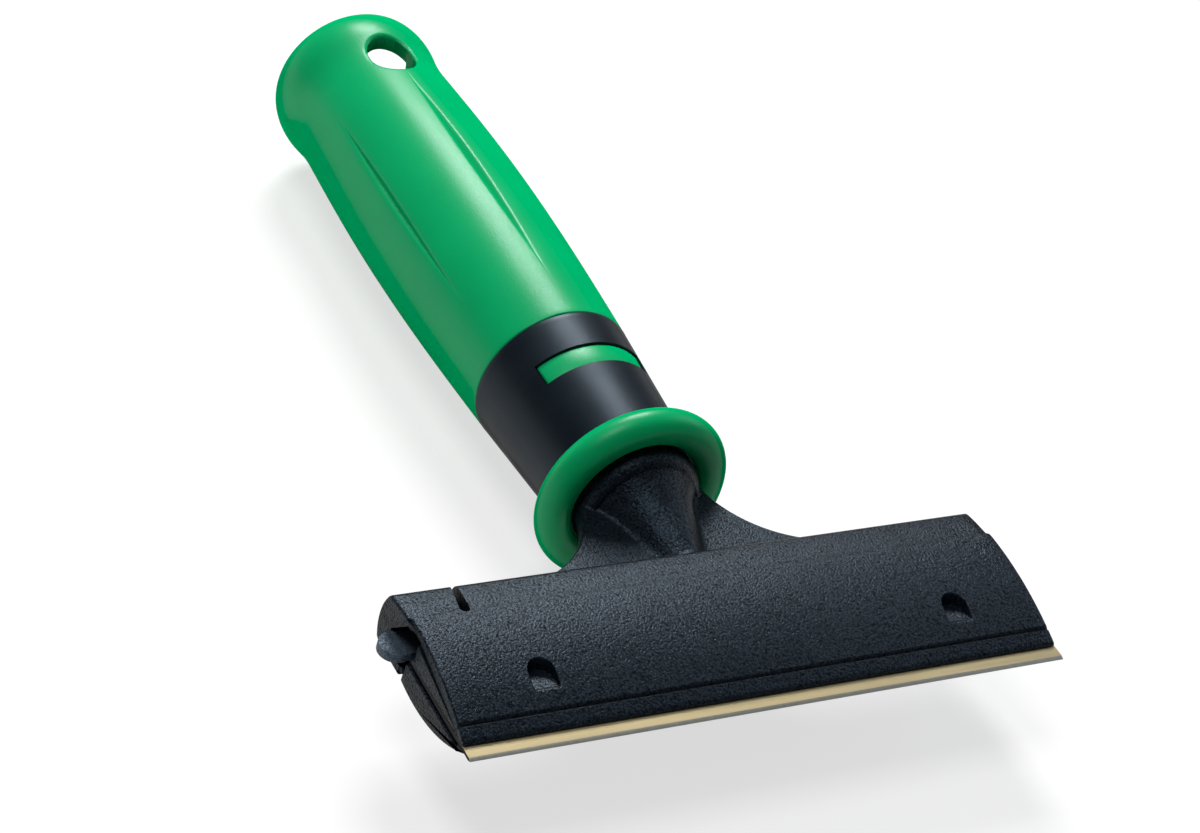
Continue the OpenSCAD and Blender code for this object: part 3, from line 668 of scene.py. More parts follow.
def turned_tree():
    """Node tree that turns a half section round the handle axis, with grooves along it and a rounded hole rim."""
    tree = bpy.data.node_groups.new("Turned handle piece", "GeometryNodeTree")
    node = partial(add_node, tree)
    tree.interface.new_socket("Section", in_out="INPUT", socket_type="NodeSocketGeometry")
    for name, (kind, _) in TURNED_INPUTS.items():
        tree.interface.new_socket(name, in_out="INPUT", socket_type="NodeSocket" + kind)
    tree.interface.new_socket("Mesh", in_out="OUTPUT", socket_type="NodeSocketGeometry")
    known = {socket.name: socket for socket in node("NodeGroupInput").outputs}
    position = node("GeometryNodeInputPosition").outputs[0]
    spot = node("ShaderNodeSeparateXYZ", None, {0: position})
    known["first side"], known["second side"] = spot.outputs["X"], spot.outputs["Y"]
    follow(tree, known, COUNT_STEPS)
    sheet = node("GeometryNodeMeshGrid", None, {
        "Size X": 1.0, "Size Y": 1.0, "Vertices X": known["rows"], "Vertices Y": known["columns"]})
    picked = node("GeometryNodeSampleIndex", {"data_type": "FLOAT_VECTOR", "domain": "POINT"}, {
        "Geometry": known["Section"], "Index": known["index"], "Value": position})
    section = node("ShaderNodeSeparateXYZ", None, {0: picked.outputs["Value"]})
    known["radius"], known["along"] = section.outputs["X"], section.outputs["Y"]
    follow(tree, known, GROOVE_STEPS)
    gap = node("ShaderNodeVectorMath", {"operation": "LENGTH"}, {0: known["offset"]})
    known["gap"] = gap.outputs["Value"]
    follow(tree, known, RIM_STEPS)
    turned_sheet = node("GeometryNodeSetPosition", None, {
        "Geometry": sheet.outputs["Mesh"], "Position": known["place"]})
    closed = node("GeometryNodeMergeByDistance", None, {
        "Geometry": turned_sheet.outputs["Geometry"], "Distance": 0.001 * MM})
    solid = node("GeometryNodeRealizeInstances", None, {0: closed.outputs["Geometry"]})
    coated = node("GeometryNodeSetMaterial", None, {
        "Geometry": solid.outputs["Geometry"], "Material": known["Finish"]})
    node("NodeGroupOutput", None, {"Mesh": coated.outputs["Geometry"]})
    return tree


def turned(name, section, segments, kind, **values):
    """Piece turned round the handle axis by the node tree, from a closed section of radius and place."""
    tree = bpy.data.node_groups.get("Turned handle piece") or turned_tree()
    piece = mesh_object(name, [(r, y, 0.0) for r, y in section], [])
    modifier = piece.modifiers.new("Turned", "NODES")
    modifier.node_group = tree
    given = {key: plain for key, (_, plain) in TURNED_INPUTS.items()}
    given.update({"Points": len(section), "Segments": segments, "Finish": finish(kind)})
    given.update({key.replace("_", " ").capitalize(): value for key, value in values.items()})
    for item in tree.interface.items_tree:
        if item.in_out == "INPUT" and item.name in given:
            modifier[item.identifier] = given[item.name]
    realise(piece)
    piece.data.materials.clear()
    piece.data.materials.append(finish(kind))
    for polygon in piece.data.polygons:
        polygon.material_index = 0
    tidy(piece)
    return piece


def along_handle(radius, low, high, count=96, at=(0.0, 0.0)):
    """Round bar parallel to the handle axis, at a place in X and Z, used only to cut or join."""
    ring = circle(*at, radius, count)
    points = [(x, y, z) for y in (low, high) for x, z in ring]
    return mesh_object("bar", points, tube_faces(2, count))


def lock_hole(s, grow=0.0):
    """Upright oval bar at the lock hole, grown by a width, which leaves the lower wall alone."""
    radius, foot = s.hole_r + grow, 2.0
    oval = circle(0, s.hole_y + s.hole_run, radius, 33, 0.0, math.pi)
    oval += circle(0, s.hole_y - s.hole_run, radius, 33, math.pi, math.pi)
    return upright("hole", oval, foot, 2 * s.bead_r)


def grip_radius(s, y):
    """Outside radius of the grip at a place along the handle, softened at the waist."""
    reach, shifts = 6.0, (-2.5, -1.25, 0.0, 1.25, 2.5)
    near = max(0.0, 1 - abs(y - s.y_waist) / reach)
    mean = sum(grip_curve(s, y + shift) for shift in shifts) / len(shifts) if near else 0.0
    soft = near * near * (3 - 2 * near)
    return grip_curve(s, y) * (1 - soft) + mean * soft


def grip_curve(s, y):
    """Radius of the curves that make up the grip's outline."""
    if y < s.y_belly:
        return s.joint_r + (s.belly_r - s.joint_r) * math.sin(
            math.pi / 2 * (y - s.y_joint) / (s.y_belly - s.y_joint))
    if y < s.y_waist:
        return s.waist_r + (s.belly_r - s.waist_r) * math.cos(
            math.pi / 2 * (y - s.y_belly) / (s.y_waist - s.y_belly))
    return s.waist_r + (s.bead_r - s.waist_r) / 2 * (
        1 - math.cos(math.pi * (y - s.y_waist) / (s.y_bead - s.y_waist)))


def grip_section(s):
    """Closed half section of the soft grip, as radius and place."""
    front, edge, lip = s.y_joint + GAP, 0.3, 0.25
    quarter = partial(np.linspace, 0, math.pi / 2)
    section = [(s.joint_r - edge * (1 - math.sin(a)), front + edge * (1 - math.cos(a))) for a in quarter(5)]
    # Rows lie close together round the lock hole, where the rim is rounded
    near_hole = s.hole_run + s.hole_r + s.hole_rim + 0.3
    places = steps(front + 1.0, s.hole_y - near_hole, 0.6)[:-1]
    places += steps(s.hole_y - near_hole, s.hole_y + near_hole, 0.22)[:-1]
    places += steps(s.hole_y + near_hole, s.y_bead, 0.4)[:-1]
    section += [(grip_radius(s, y), y) for y in places]
    section += [(s.butt_r + (s.bead_r - s.butt_r) * math.cos(a), s.y_bead + (s.y_butt - s.y_bead) * math.sin(a))
                for a in quarter(18)]
    section += [(s.mouth_r + lip * (1 - math.sin(a)), s.y_butt - lip * (1 - math.cos(a))) for a in quarter(4)]
    section += [(s.mouth_r, GAP), (s.tube_r + GAP, GAP)]
    section += [(s.tube_r + GAP, y) for y in steps(-1.0, front, 4.0)]
    return section


class SCRAPER_OT_grip(bpy.types.Operator):
    """Soft grip with finger grooves, a butt bead and the lock hole."""
    bl_idname = "scraper.grip"
    bl_label = "Grip"

    def execute(self, context):
        s, form = in_mm(context.scene.scraper_lengths), context.scene.scraper_forms
        # The groove's floor rises by this share of the way past the belly
        fade = 0.004
        # Any radius between the tube and the outside tells the skin from the inner wall
        skin = s.tube_r + 0.4
        piece = turned("grip", grip_section(s), 432, "soft", grooves=form.grooves,
                       groove_floor=(s.belly_r - s.groove_depth) * MM,
                       groove_slope=1 / math.tan(form.groove_angle), groove_edge=s.groove_edge * MM,
                       groove_crest=s.y_belly * MM, groove_rise=fade, groove_end=s.y_waist * MM,
                       hole_place=s.hole_y * MM, hole_run=s.hole_run * MM, hole_radius=s.hole_r * MM,
                       hole_rim=s.hole_rim * MM, skin_radius=skin * MM)
        lining = lock_hole(s, s.hole_lining)
        low, high = s.hole_y - FAR, s.hole_y + FAR
        combine(lining, along_handle(s.tube_r + 3 * GAP, low, high), "INTERSECT")
        combine(lining, along_handle(s.mouth_r, low, high), "DIFFERENCE")
        combine(piece, lining, "UNION")
        combine(piece, lock_hole(s), "DIFFERENCE")
        show(piece, "base", "green_tpe", "grip_sleeve")
        return {"FINISHED"}


# The neck screw in millimetres: depth of its seat below the socket's floor, height of its head, length of its shank
SCREW_SEAT, SCREW_HEAD_H, SCREW_L = 3.2, 3.0, 18.0


def collar_radius(s, y):
    """Outside radius of the collar at a place along the handle."""
    return s.collar_r + (s.joint_r - s.collar_r) * (y - s.y_collar) / (s.y_joint - s.y_collar)


def core_section(s):
    """Closed half section of the hard core: ring cove, collar, tube, socket and screw seat."""
    cove, edge, chamfer, loose = s.ring_tube_r + GAP, 0.25, 0.2, 0.2
    bore = s.spigot_r + GAP
    section = [(bore, s.y_collar)]
    # The cove runs round the ring until it leaves the collar's outside
    start = math.asin((s.ring_y - s.y_collar) / cove)
    for a in np.linspace(start, -1.25, 20):
        r, y = s.ring_r - cove * math.cos(a), s.ring_y - cove * math.sin(a)
        if r > collar_radius(s, y):
            break
        section.append((r, y))
    foot = section[-1][1] + 0.35
    section += [(collar_radius(s, y), y) for y in steps(foot, s.y_joint - 1.0, 1.0)]
    section += [(s.joint_r - edge * (1 - math.cos(a)), s.y_joint - edge * (1 - math.sin(a)))
                for a in np.linspace(0, math.pi / 2, 5)]
    section += [(s.tube_r, s.y_joint)]
    section += [(s.tube_r, y) for y in steps(s.y_joint + 4.0, 0.0, 4.0)]
    section += [(s.socket_r + chamfer, 0.0), (s.socket_r, -chamfer)]
    section += [(s.socket_r, y) for y in steps(-4.0, s.y_floor, 4.0)]
    head, shank = s.screw_head_r + loose, s.screw_r + loose
    seat, spigot = s.y_floor - SCREW_SEAT - GAP, s.y_spigot + GAP
    section += [(head, s.y_floor), (head, seat), (shank, seat), (shank, spigot), (bore, spigot)]
    return section


def curved_bar(s, name, angle, width, low, high, edge, kind=None):
    """Bar that follows the collar's top, with rounded edges, between two depths below the collar's face."""
    reach = s.joint_r * angle / 2
    piece = upright(name, [(-reach, -width / 2), (reach, -width / 2), (reach, width / 2), (-reach, width / 2)],
                    low, high, kind)
    if edge:
        softened(piece, edge)
    work = bmesh.new()
    work.from_mesh(piece.data)
    for x in np.linspace(-reach, reach, 74)[1:-1]:
        bmesh.ops.bisect_plane(work, geom=work.verts[:] + work.edges[:] + work.faces[:], dist=1e-8,
                               plane_co=(x * MM, 0, 0), plane_no=(1, 0, 0))
    for vert in work.verts:
        x, y, z = vert.co / MM
        turn = x / s.joint_r
        r = collar_radius(s, s.y_inlay + y) + z
        vert.co = Vector((r * math.sin(turn), s.y_inlay + y, r * math.cos(turn))) * MM
    work.to_mesh(piece.data)
    work.free()
    tidy(piece)
    return piece


class SCRAPER_OT_collar(bpy.types.Operator):
    """Hard core: smooth collar, the tube under the grip and the pole socket."""
    bl_idname = "scraper.collar"
    bl_label = "Collar and socket"

    def execute(self, context):
        s, form = in_mm(context.scene.scraper_lengths), context.scene.scraper_forms
        piece = turned("collar", core_section(s), 320, "smooth")
        combine(piece, lock_hole(s, s.hole_lining + GAP), "DIFFERENCE")
        seat = curved_bar(s, "seat", form.inlay_angle + 2 * GAP / s.joint_r, s.inlay_w + 2 * GAP,
                          -s.inlay_seat, 1.0, 0.0)
        combine(piece, seat, "DIFFERENCE")
        show(piece, "base", "smooth_nylon", "handle_core")
        return {"FINISHED"}


class SCRAPER_OT_trim(bpy.types.Operator):
    """Soft trim: the finger ring and the plain bar let into the collar."""
    bl_idname = "scraper.trim"
    bl_label = "Ring and inlay"

    def execute(self, context):
        s, form = in_mm(context.scene.scraper_lengths), context.scene.scraper_forms
        ring = turned("finger_ring", circle(s.ring_r, s.ring_y, s.ring_tube_r, 64), 200, "soft")
        show(ring, "base", "green_tpe", "collar_ring")
        bar = curved_bar(s, "inlay", form.inlay_angle, s.inlay_w, GAP - s.inlay_seat, -s.inlay_sink, 0.35, "soft")
        show(bar, "base", "green_tpe", "collar_inlay")
        return {"FINISHED"}


class SCRAPER_OT_screw(bpy.types.Operator):
    """Pan-head screw that holds the neck, seen at the bottom of the pole socket."""
    bl_idname = "scraper.screw"
    bl_label = "Neck screw"

    def execute(self, context):
        s = in_mm(context.scene.scraper_lengths)
        seat = s.y_floor - SCREW_SEAT
        top, tip, dome, axis = seat + SCREW_HEAD_H, seat - SCREW_L, 1.1, 0.001
        section = [(axis, tip), (s.screw_r * 0.55, tip)]
        root, turns = s.screw_r * 0.78, 12
        for i in range(turns):
            y = tip + 1.5 + (seat - tip - 3.0) * i / turns
            section += [(root, y), (s.screw_r, y + 0.35), (s.screw_r, y + 0.5), (root, y + 0.85)]
        section += [(s.screw_r * 0.9, seat), (s.screw_head_r, seat)]
        section += [(s.screw_head_r - dome * (1 - math.cos(a)), top - dome * (1 - math.sin(a)))
                    for a in np.linspace(0, math.pi / 2, 7)]
        section += [(axis, top)]
        piece = turned("neck_screw", section, 64, "plated")
        # The cross recess lies on the handle axis, and blocks are placed from the blade plane
        half_slot, half_cross, recess = 0.55, 2.6, 1.7
        for wide, high in ((half_slot, half_cross), (half_cross, half_slot)):
            combine(piece, block((-wide, top - recess, -high - RISE), (wide, top + 1.0, high - RISE)), "DIFFERENCE")
        show(piece, "base", "zinc_screw", "neck_screw")
        return {"FINISHED"}


# Head

# The head's hidden works in millimetres, with heights from the blade plane and places in the frame.
# Width of the front lip's land, and thickness of the wall behind the tray's slot
LAND, REAR_WALL = 1.6, 3.9
# Floor and roof of the tray's slot, and half heights of the blade's mouth and of its slit in the right wall
SLOT_LOW, SLOT_TOP, MOUTH, SLIT = -1.6, 0.55, 0.4, 0.45
# Heights where the shells meet, behind the lip and under it
PARTING, LIP_PARTING = -1.25, -0.35
# Floor, front and back of the pocket under the arm, and the inner face of the right end's wall
POCKET_LOW, POCKET_FRONT, POCKET_BACK, WALL_X = -2.6, -136.5, -130.4, 48.2
# Underside and top of the tray and its arm, the tray's clearance, and its pegs
TRAY_LOW, TRAY_TOP, SLIDE, PEG_X, PEG_R = -1.1, 0.35, 0.2, 30.0, 1.5
# Root and front clearance of the arm, and places in front of and behind the whole head
HINGE_X, ARM_FRONT, AHEAD, BEHIND = -24.0, -136.8, -158.0, -120.0


def peg_place(s):
    """Place of the tray's pegs along the handle, in the middle of the covered part of the blade."""
    return (s.y_back + s.y_lip + LAND) / 2


def crown(s, y):
    """Height of the upper shell's surface above the blade plane."""
    run, fall = s.y_crown - s.y_lip, s.crown_h - s.lip_h
    radius = (run * run + fall * fall) / 2 / fall
    return s.crown_h - radius + np.sqrt(radius * radius - (np.asarray(y, float) - s.y_crown) ** 2)


def shell_loop(s):
    """Closed section of the solid upper shell, and which of its points lie on the upper face."""
    rear_y = s.y_rear - s.rear_r
    low, meet = math.asin(-s.block_h / s.rear_r), 0.4
    inner, edge = s.y_lip + LAND + GAP, 0.3
    under = [(s.y_lip + 0.1, LIP_PARTING), (inner, LIP_PARTING), (inner, PARTING), (s.y_block, PARTING),
             (s.y_block, -s.block_h + edge), (s.y_block + edge, -s.block_h)]
    under += [(y, -s.block_h) for y in steps(s.y_block + 2, rear_y + s.rear_r * math.cos(low) - 0.6, 2.0)]
    rear = [(rear_y + s.rear_r * math.cos(a), s.rear_r * math.sin(a)) for a in np.linspace(low + 0.06, meet, 26)]
    # Rows lie close together at the lip, its groove, the windows, the step and the rear edge
    front_w = s.window_y - s.window_l
    places = set(steps(s.y_lip + 0.3, s.y_lip + 2.4, 0.3) + steps(s.groove_y - 0.6, s.groove_y + 0.6, 0.08)
                 + steps(front_w - 0.6, s.window_y + 0.4, 0.12) + steps(s.window_y + 0.4, s.y_step - 0.9, 0.8)
                 + steps(s.y_step - 0.9, s.y_step + 0.9, 0.15) + steps(s.y_step + 0.9, s.y_rear - 3.0, 0.6)
                 + steps(s.y_rear - 3.0, rear[-1][0] - 0.08, 0.12))
    half_step, rear_blend, lip_round = 0.8, 0.7, 0.3
    top = []
    for y in sorted(places, reverse=True):
        fade = min(1.0, max(0.0, (y - s.y_step + half_step) / (2 * half_step)))
        z = float(crown(s, y)) - s.top_step * fade * fade * (3 - 2 * fade)
        if y > rear_y:
            z = float(smooth_min(z, math.sqrt(max(0.0, s.rear_r ** 2 - (y - rear_y) ** 2)), rear_blend))
        short = lip_round - (y - s.y_lip)
        if short > 0:
            z -= lip_round - math.sqrt(max(0.0, lip_round ** 2 - short ** 2))
        top.append((y, z))
    lip_top = float(crown(s, s.y_lip))
    nose = [(s.y_lip + 0.09, lip_top - 0.06), (s.y_lip, lip_top - 0.25), (s.y_lip, -0.25)]
    loop = under + rear + top + nose
    upper = [False] * len(under + rear) + [True] * len(top) + [False] * len(nose)
    return loop, np.array(upper)


def window_cut(s, x, y, z):
    """Upper face lowered into the two arched windows, whose floors ramp up towards the blade."""
    half, wall, run_out, blend = s.window_w / 2, 0.24, 0.8, 0.3
    front = s.window_y - s.window_l
    foot = float(crown(s, front))
    heel = float(crown(s, s.window_y)) - s.window_h
    floor = heel + (foot - heel) * np.clip((s.window_y - y) / s.window_l, 0, 1.0)
    for centre in (-s.window_x, s.window_x):
        aside = np.abs(x - centre)
        arch = half - np.hypot(aside, np.maximum(y - (s.window_y - half), 0))
        depth = np.clip((arch + wall / 2) / wall, 0, 1) * np.clip((y - front) / run_out, 0, 1)
        depth = depth * depth * (3 - 2 * depth)
        cut = smooth_min(z, floor, blend)
        z = np.where(y > front, z + (cut - z) * depth, z)
    return z


def head_stations(s):
    """Places along the head, close together at the windows' walls."""
    places = steps(-s.half_w, s.half_w, 2.5)
    for centre in (-s.window_x, s.window_x):
        places += steps(centre - s.window_w / 2 - 0.4, centre + s.window_w / 2 + 0.4, 0.13)
    kept = []
    for x in sorted(places):
        if not kept or x - kept[-1] > 0.05:
            kept.append(x)
    kept[-1] = s.half_w
    return kept


def shell_solid(s, form):
    """Upper shell without its neck and slots: an arched skin, stepped and leaned at its ends."""
    loop, upper = shell_loop(s)
    full = np.asarray(loop)
    # Where the ends begin to draw in, how far their rear parts do, and the slope of the lip groove's sides
    draw_x, right_in, left_in, slope = 44, 1.6, 0.5, 0.9

    def place(row):
        x, y, z = row[:, 0], row[:, 1], row[:, 2] - RISE
        valley = s.groove_w / 2 - np.abs(y - s.groove_y)
        z = np.where(upper & (valley > 0), z - valley * slope, z)
        z = np.where(upper, window_cut(s, x, y, z), z)
        shoulder = np.where(full[:, 1] < PARTING + GAP, s.y_block, s.y_step)
        rear = np.clip((full[:, 0] - shoulder + 0.1) / 0.2, 0, 1)
        to_right = np.clip((x - draw_x) / (s.half_w - draw_x), 0, 1)
        to_left = np.clip((-draw_x - x) / (s.half_w - draw_x), 0, 1)
        lean = math.tan(form.right_lean) * np.maximum(z - s.blade_half, 0)
        x = x - to_right * np.maximum(right_in * rear, lean) - to_left * left_in * rear
        return np.column_stack([x, y, z + RISE])

    return swept("upper_shell", loop, head_stations(s), 0.45, "grained", place)


def neck_radius(s, y):
    """Radius of the neck's round base and of the cone that runs from it into the head."""
    front, fall, blend = s.y_collar - s.base_l, 1.2, 3.2
    run = (s.y_collar - y) / (s.y_collar - s.y_rear)
    cone = s.neck_r + (s.nose_r - s.neck_r) * min(max(run, 0.0), 1.0)
    round_y = min(max(front + s.base_r - y, 0.0), s.base_r)
    base = s.base_rad - s.base_r + math.sqrt(s.base_r ** 2 - round_y ** 2) - fall * max(front - y, 0.0)
    return float(-smooth_min(np.array(-base), np.array(-cone), blend))


def neck_solid(s):
    """Neck: a cone that runs into the head between two flat webs, with soft valleys beside it."""
    front = s.y_collar - s.base_l
    places = steps(s.y_collar - GAP, front - 0.5, 0.1)[:-1] + steps(front - 0.5, s.y_rear + 1.5, 0.3)[:-1]
    places += steps(s.y_rear + 1.5, s.y_rear - 2.2, 0.15)
    across = np.sin(np.linspace(-math.pi / 2, math.pi / 2, 161))
    ring_gap = s.ring_tube_r + 0.3
    rim, fillet, cone_swell, web_swell = 0.8, 1.2, 0.4, 0.3
    points = []
    for y in places:
        # Everything swells a little where it runs into the head
        swell = min(max((s.y_rear + fillet - y) / fillet, 0.0), 1.0) ** 2
        radius, half = neck_radius(s, y) + cone_swell * swell, s.web_half + web_swell * swell
        flare = s.flare_r ** 2 - (y - s.flare_y) ** 2
        wide = s.flare_x - math.sqrt(max(flare, 0.0))
        if abs(y - s.ring_y) < ring_gap:
            wide = min(wide, s.ring_r - math.sqrt(ring_gap ** 2 - (y - s.ring_y) ** 2))
        wide = max(wide, radius if y > front else 0.0)
        x = across * wide
        # The skin's height is found by halving
        low, high = np.zeros_like(x), np.full_like(x, 2 * s.base_rad)
        for _ in range(40):
            middle = (low + high) / 2
            inside = smooth_min(np.hypot(x, middle) - radius, middle - half, s.web_blend) < 0
            low, high = np.where(inside, middle, low), np.where(inside, high, middle)
        margin = np.minimum(wide - np.abs(x), rim)
        edge = half - rim + np.sqrt(rim ** 2 - (rim - margin) ** 2)
        height = np.minimum(low, edge + np.maximum(low - half, 0) + 0.001)
        points += [(a, y, b) for a, b in zip(x, height)]
        points += [(a, y, -b) for a, b in zip(x[::-1], height[::-1])]
    return mesh_object("neck", points, tube_faces(len(places), 2 * len(across)))


def scoop_section(s):
    """Section of the thumb scoop over the tab, under the skin of the left end."""
    back, skin = s.y_rear - REAR_WALL, 1.0
    front = back - s.scoop_l
    top = []
    for y in steps(back, front, 0.4):
        slant = SLOT_TOP + (s.crown_h - SLOT_TOP) * (back - y) / (back - s.y_block)
        top.append((y, min(float(crown(s, y)) - skin, slant)))
    return [(back, TRAY_LOW)] + top + [(front, TRAY_LOW)]


class SCRAPER_OT_upper_shell(bpy.types.Operator):
    """Upper shell of the head, in one piece with the neck."""
    bl_idname = "scraper.upper_shell"
    bl_label = "Upper shell and neck"

    def execute(self, context):
        s, form = in_mm(context.scene.scraper_lengths), context.scene.scraper_forms
        piece = shell_solid(s, form)
        combine(piece, neck_solid(s), "UNION")
        combine(piece, along_handle(s.spigot_r, s.y_collar - 1.0, s.y_spigot), "UNION")
        bore_end = s.y_floor - SCREW_SEAT - SCREW_L - 0.1
        combine(piece, along_handle(s.screw_r + GAP, bore_end, s.y_spigot + 1.0), "DIFFERENCE")
        lip, back = s.y_lip + LAND, s.y_rear - REAR_WALL
        # The tray's slot, the blade's mouth, the pocket under the arm, and the blade's slit in the right wall
        for low, high in (((-FAR, lip, SLOT_LOW), (WALL_X, back, SLOT_TOP)),
                          ((-FAR, AHEAD, -MOUTH), (WALL_X, lip + 0.1, MOUTH)),
                          ((-FAR, POCKET_FRONT, POCKET_LOW), (WALL_X, POCKET_BACK, PARTING + GAP)),
                          ((WALL_X - SLIDE, AHEAD, -SLIT), (FAR, s.y_back + SLIDE, SLIT))):
            combine(piece, block(low, high), "DIFFERENCE")
        combine(piece, swept("scoop", scoop_section(s), [-FAR, s.scoop_depth - s.half_w]), "DIFFERENCE")
        round_y, open_y = s.y_rear - s.slot_l + s.slot_w / 2, s.y_rear + 1.0
        shift = math.tan(form.slot_lean) * s.slot_l / 2
        mouth_x = s.slot_x + shift
        drop = circle(s.slot_x - shift, round_y, s.slot_w / 2, 25, math.pi, math.pi)
        drop += [(mouth_x + s.slot_mouth / 2, open_y), (mouth_x - s.slot_mouth / 2, open_y)]
        combine(piece, upright("teardrop", drop, 0.5 + RISE, 8.0), "DIFFERENCE")
        show(piece, "base", "grained_nylon", "head_upper_shell")
        return {"FINISHED"}


class SCRAPER_OT_lower_shell(bpy.types.Operator):
    """Lower shell of the head, a keel-shaped cover with a tongue at its rear."""
    bl_idname = "scraper.lower_shell"
    bl_label = "Lower shell"

    def execute(self, context):
        s = in_mm(context.scene.scraper_lengths)
        front, lip, lip_t = s.y_lip - 0.2, s.y_lip + LAND, 0.35
        rear, tongue = s.y_block - GAP, POCKET_BACK - GAP
        top, foot, lip_top = PARTING - GAP, POCKET_LOW + GAP, LIP_PARTING - GAP
        run, fall = s.y_keel - front, s.keel_h + lip_top - lip_t
        radius = (run * run + fall * fall) / 2 / fall
        loop = [(y, radius - s.keel_h - math.sqrt(radius ** 2 - (y - s.y_keel) ** 2))
                for y in steps(front, rear, 0.5)]
        loop += [(rear, foot), (tongue, foot), (tongue, top), (lip, top), (lip, lip_top), (front, lip_top)]
        piece = swept("lower_shell", loop, steps(-s.half_w, s.half_w, 2.5), 0.35, "grained")
        # The tongue makes room for the arm at the left and for the right end's wall
        combine(piece, block((-FAR, ARM_FRONT, POCKET_LOW), (HINGE_X + 1.45, BEHIND, 1.0)), "DIFFERENCE")
        combine(piece, block((WALL_X - GAP, rear, POCKET_LOW), (FAR, BEHIND, 1.0)), "DIFFERENCE")
        show(piece, "base", "grained_nylon", "head_lower_shell")
        return {"FINISHED"}


class SCRAPER_OT_tray(bpy.types.Operator):
    """Blade tray with its two pegs, and the thumb tab on its spring arm."""
    bl_idname = "scraper.tray"
    bl_label = "Tray and thumb tab"

    def execute(self, context):
        s = in_mm(context.scene.scraper_lengths)
        front, back = s.y_lip + LAND + 2 * SLIDE, s.y_rear - REAR_WALL - SLIDE
        rail, deck = s.y_back + SLIDE, -s.blade_half - GAP
        loop = [(front, TRAY_LOW), (back, TRAY_LOW), (back, TRAY_TOP), (rail, TRAY_TOP), (rail, deck), (front, deck)]
        tray = swept("tray", loop, [2 * SLIDE - s.half_w, WALL_X - SLIDE], 0.0, "smooth")
        # The arm's rear corner of the tray is open, and hollow round the arm's root
        combine(tray, block((-FAR, ARM_FRONT, -2.0), (HINGE_X, BEHIND, 2.0)), "DIFFERENCE")
        root_r, root = (TRAY_TOP - TRAY_LOW) / 2, (HINGE_X, RISE + (TRAY_TOP + TRAY_LOW) / 2)
        combine(tray, along_handle(root_r + SLIDE, ARM_FRONT, BEHIND, 40, root), "DIFFERENCE")
        for x in (-PEG_X, PEG_X):
            peg = upright("peg", circle(x, peg_place(s), PEG_R, 48), RISE - 0.6, RISE + TRAY_TOP)
            combine(tray, peg, "UNION")
        softened(tray, 0.12, 2)
        show(tray, "carrier", "smooth_nylon", "blade_carrier")

        tab_x, neck_x = -s.half_w - s.tab_out + s.tab_w / 2, -s.half_w - SLIDE
        half, arm = s.tab_w / 2, s.arm_w / 2
        outline = [(HINGE_X, s.y_arm - arm), (HINGE_X, s.y_arm + arm), (neck_x, s.y_arm + arm),
                   (neck_x, s.y_arm + half)]
        outline += circle(tab_x, s.y_arm, half, 49, math.pi / 2, math.pi)
        outline += [(neck_x, s.y_arm - half), (neck_x, s.y_arm - arm)]
        # The tab's lighter grey is painted light on its top
        latch = upright("thumb_tab", outline, RISE + TRAY_LOW, RISE + TRAY_TOP, "tab_painted_light")
        softened(latch, 0.3, 3)
        combine(latch, along_handle(root_r, s.y_arm - arm, s.y_arm + arm, 32, root), "UNION")
        show(latch, "latch", "grained_nylon", "carrier_latch")
        return {"FINISHED"}


class SCRAPER_OT_blade(bpy.types.Operator):
    """Straight carbon steel blade with a ground bevel and two peg holes."""
    bl_idname = "scraper.blade"
    bl_label = "Blade"

    def execute(self, context):
        s = in_mm(context.scene.scraper_lengths)
        t, inner = s.blade_half, s.y_edge + s.bevel_w
        loop = [(s.y_edge, 0.0), (inner, -t), (s.y_back, -t), (s.y_back, t), (inner, t)]
        piece = swept("blade", loop, [-s.half_w, s.half_w], 0.0, "lacquered")
        for kind in ("ground", "sheared_painted_shade"):
            piece.data.materials.append(finish(kind))
        for x in (-PEG_X, PEG_X):
            hole = upright("peg", circle(x, peg_place(s), PEG_R + GAP, 48), 0.0, 2.0)
            combine(piece, hole, "DIFFERENCE")
        # The lacquer stops at the bevel, and both sheared ends are drawn near-black as painted shade
        lacquered, ground, sheared_painted_shade = range(3)
        for polygon in piece.data.polygons:
            flat = ground if polygon.center.y < (inner - 0.02) * MM else lacquered
            polygon.material_index = sheared_painted_shade if abs(polygon.normal.x) > 0.9 else flat
        show(piece, "carrier", "blade_steel", "blade")
        return {"FINISHED"}


# Stage

# Image width and focal length in pixels of the photograph, and the camera's place and axes in the frame
IMAGE_W, FOCAL_PX = 1200, 3200.0
CAMERA_AT = (-0.2415, -0.4079, 0.2937)
LOOK_RIGHT, LOOK_FORWARD = (0.864, -0.438, 0.25), (0.494, 0.637, -0.592)
# Middle of the object, at which the lamps look, and half the floor's width, in metres
AIM = Vector((0.0, -0.085, 0.0))
FLOOR_REACH = 20.0
# Soft boxes: direction from the object, distance and size in metres, watts and tint
LAMPS = {
    "Key": ((0.24, 0.69, 0.69), 0.8, 0.28, 7.5, "#ffffff"),
    "Side": ((0.88, 0.05, 0.48), 0.9, 0.4, 1.2, "#eaf3ff"),
    "Fill": ((-0.3, 0.06, 0.95), 1.0, 0.4, 4.6, "#ffffff"),
}


def lamp(name, direction, distance, size, watts, tint):
    """Square soft box that looks at the middle of the object."""
    data = bpy.data.lights.new(name, "AREA")
    data.shape = "SQUARE"
    data.size = size
    data.energy = watts
    data.color = linear(tint)[:3]
    made = bpy.data.objects.new(name, data)
    bpy.context.scene.collection.objects.link(made)
    made.location = AIM + Vector(direction).normalized() * distance
    made.rotation_euler = (AIM - made.location).to_track_quat("-Z", "Y").to_euler()


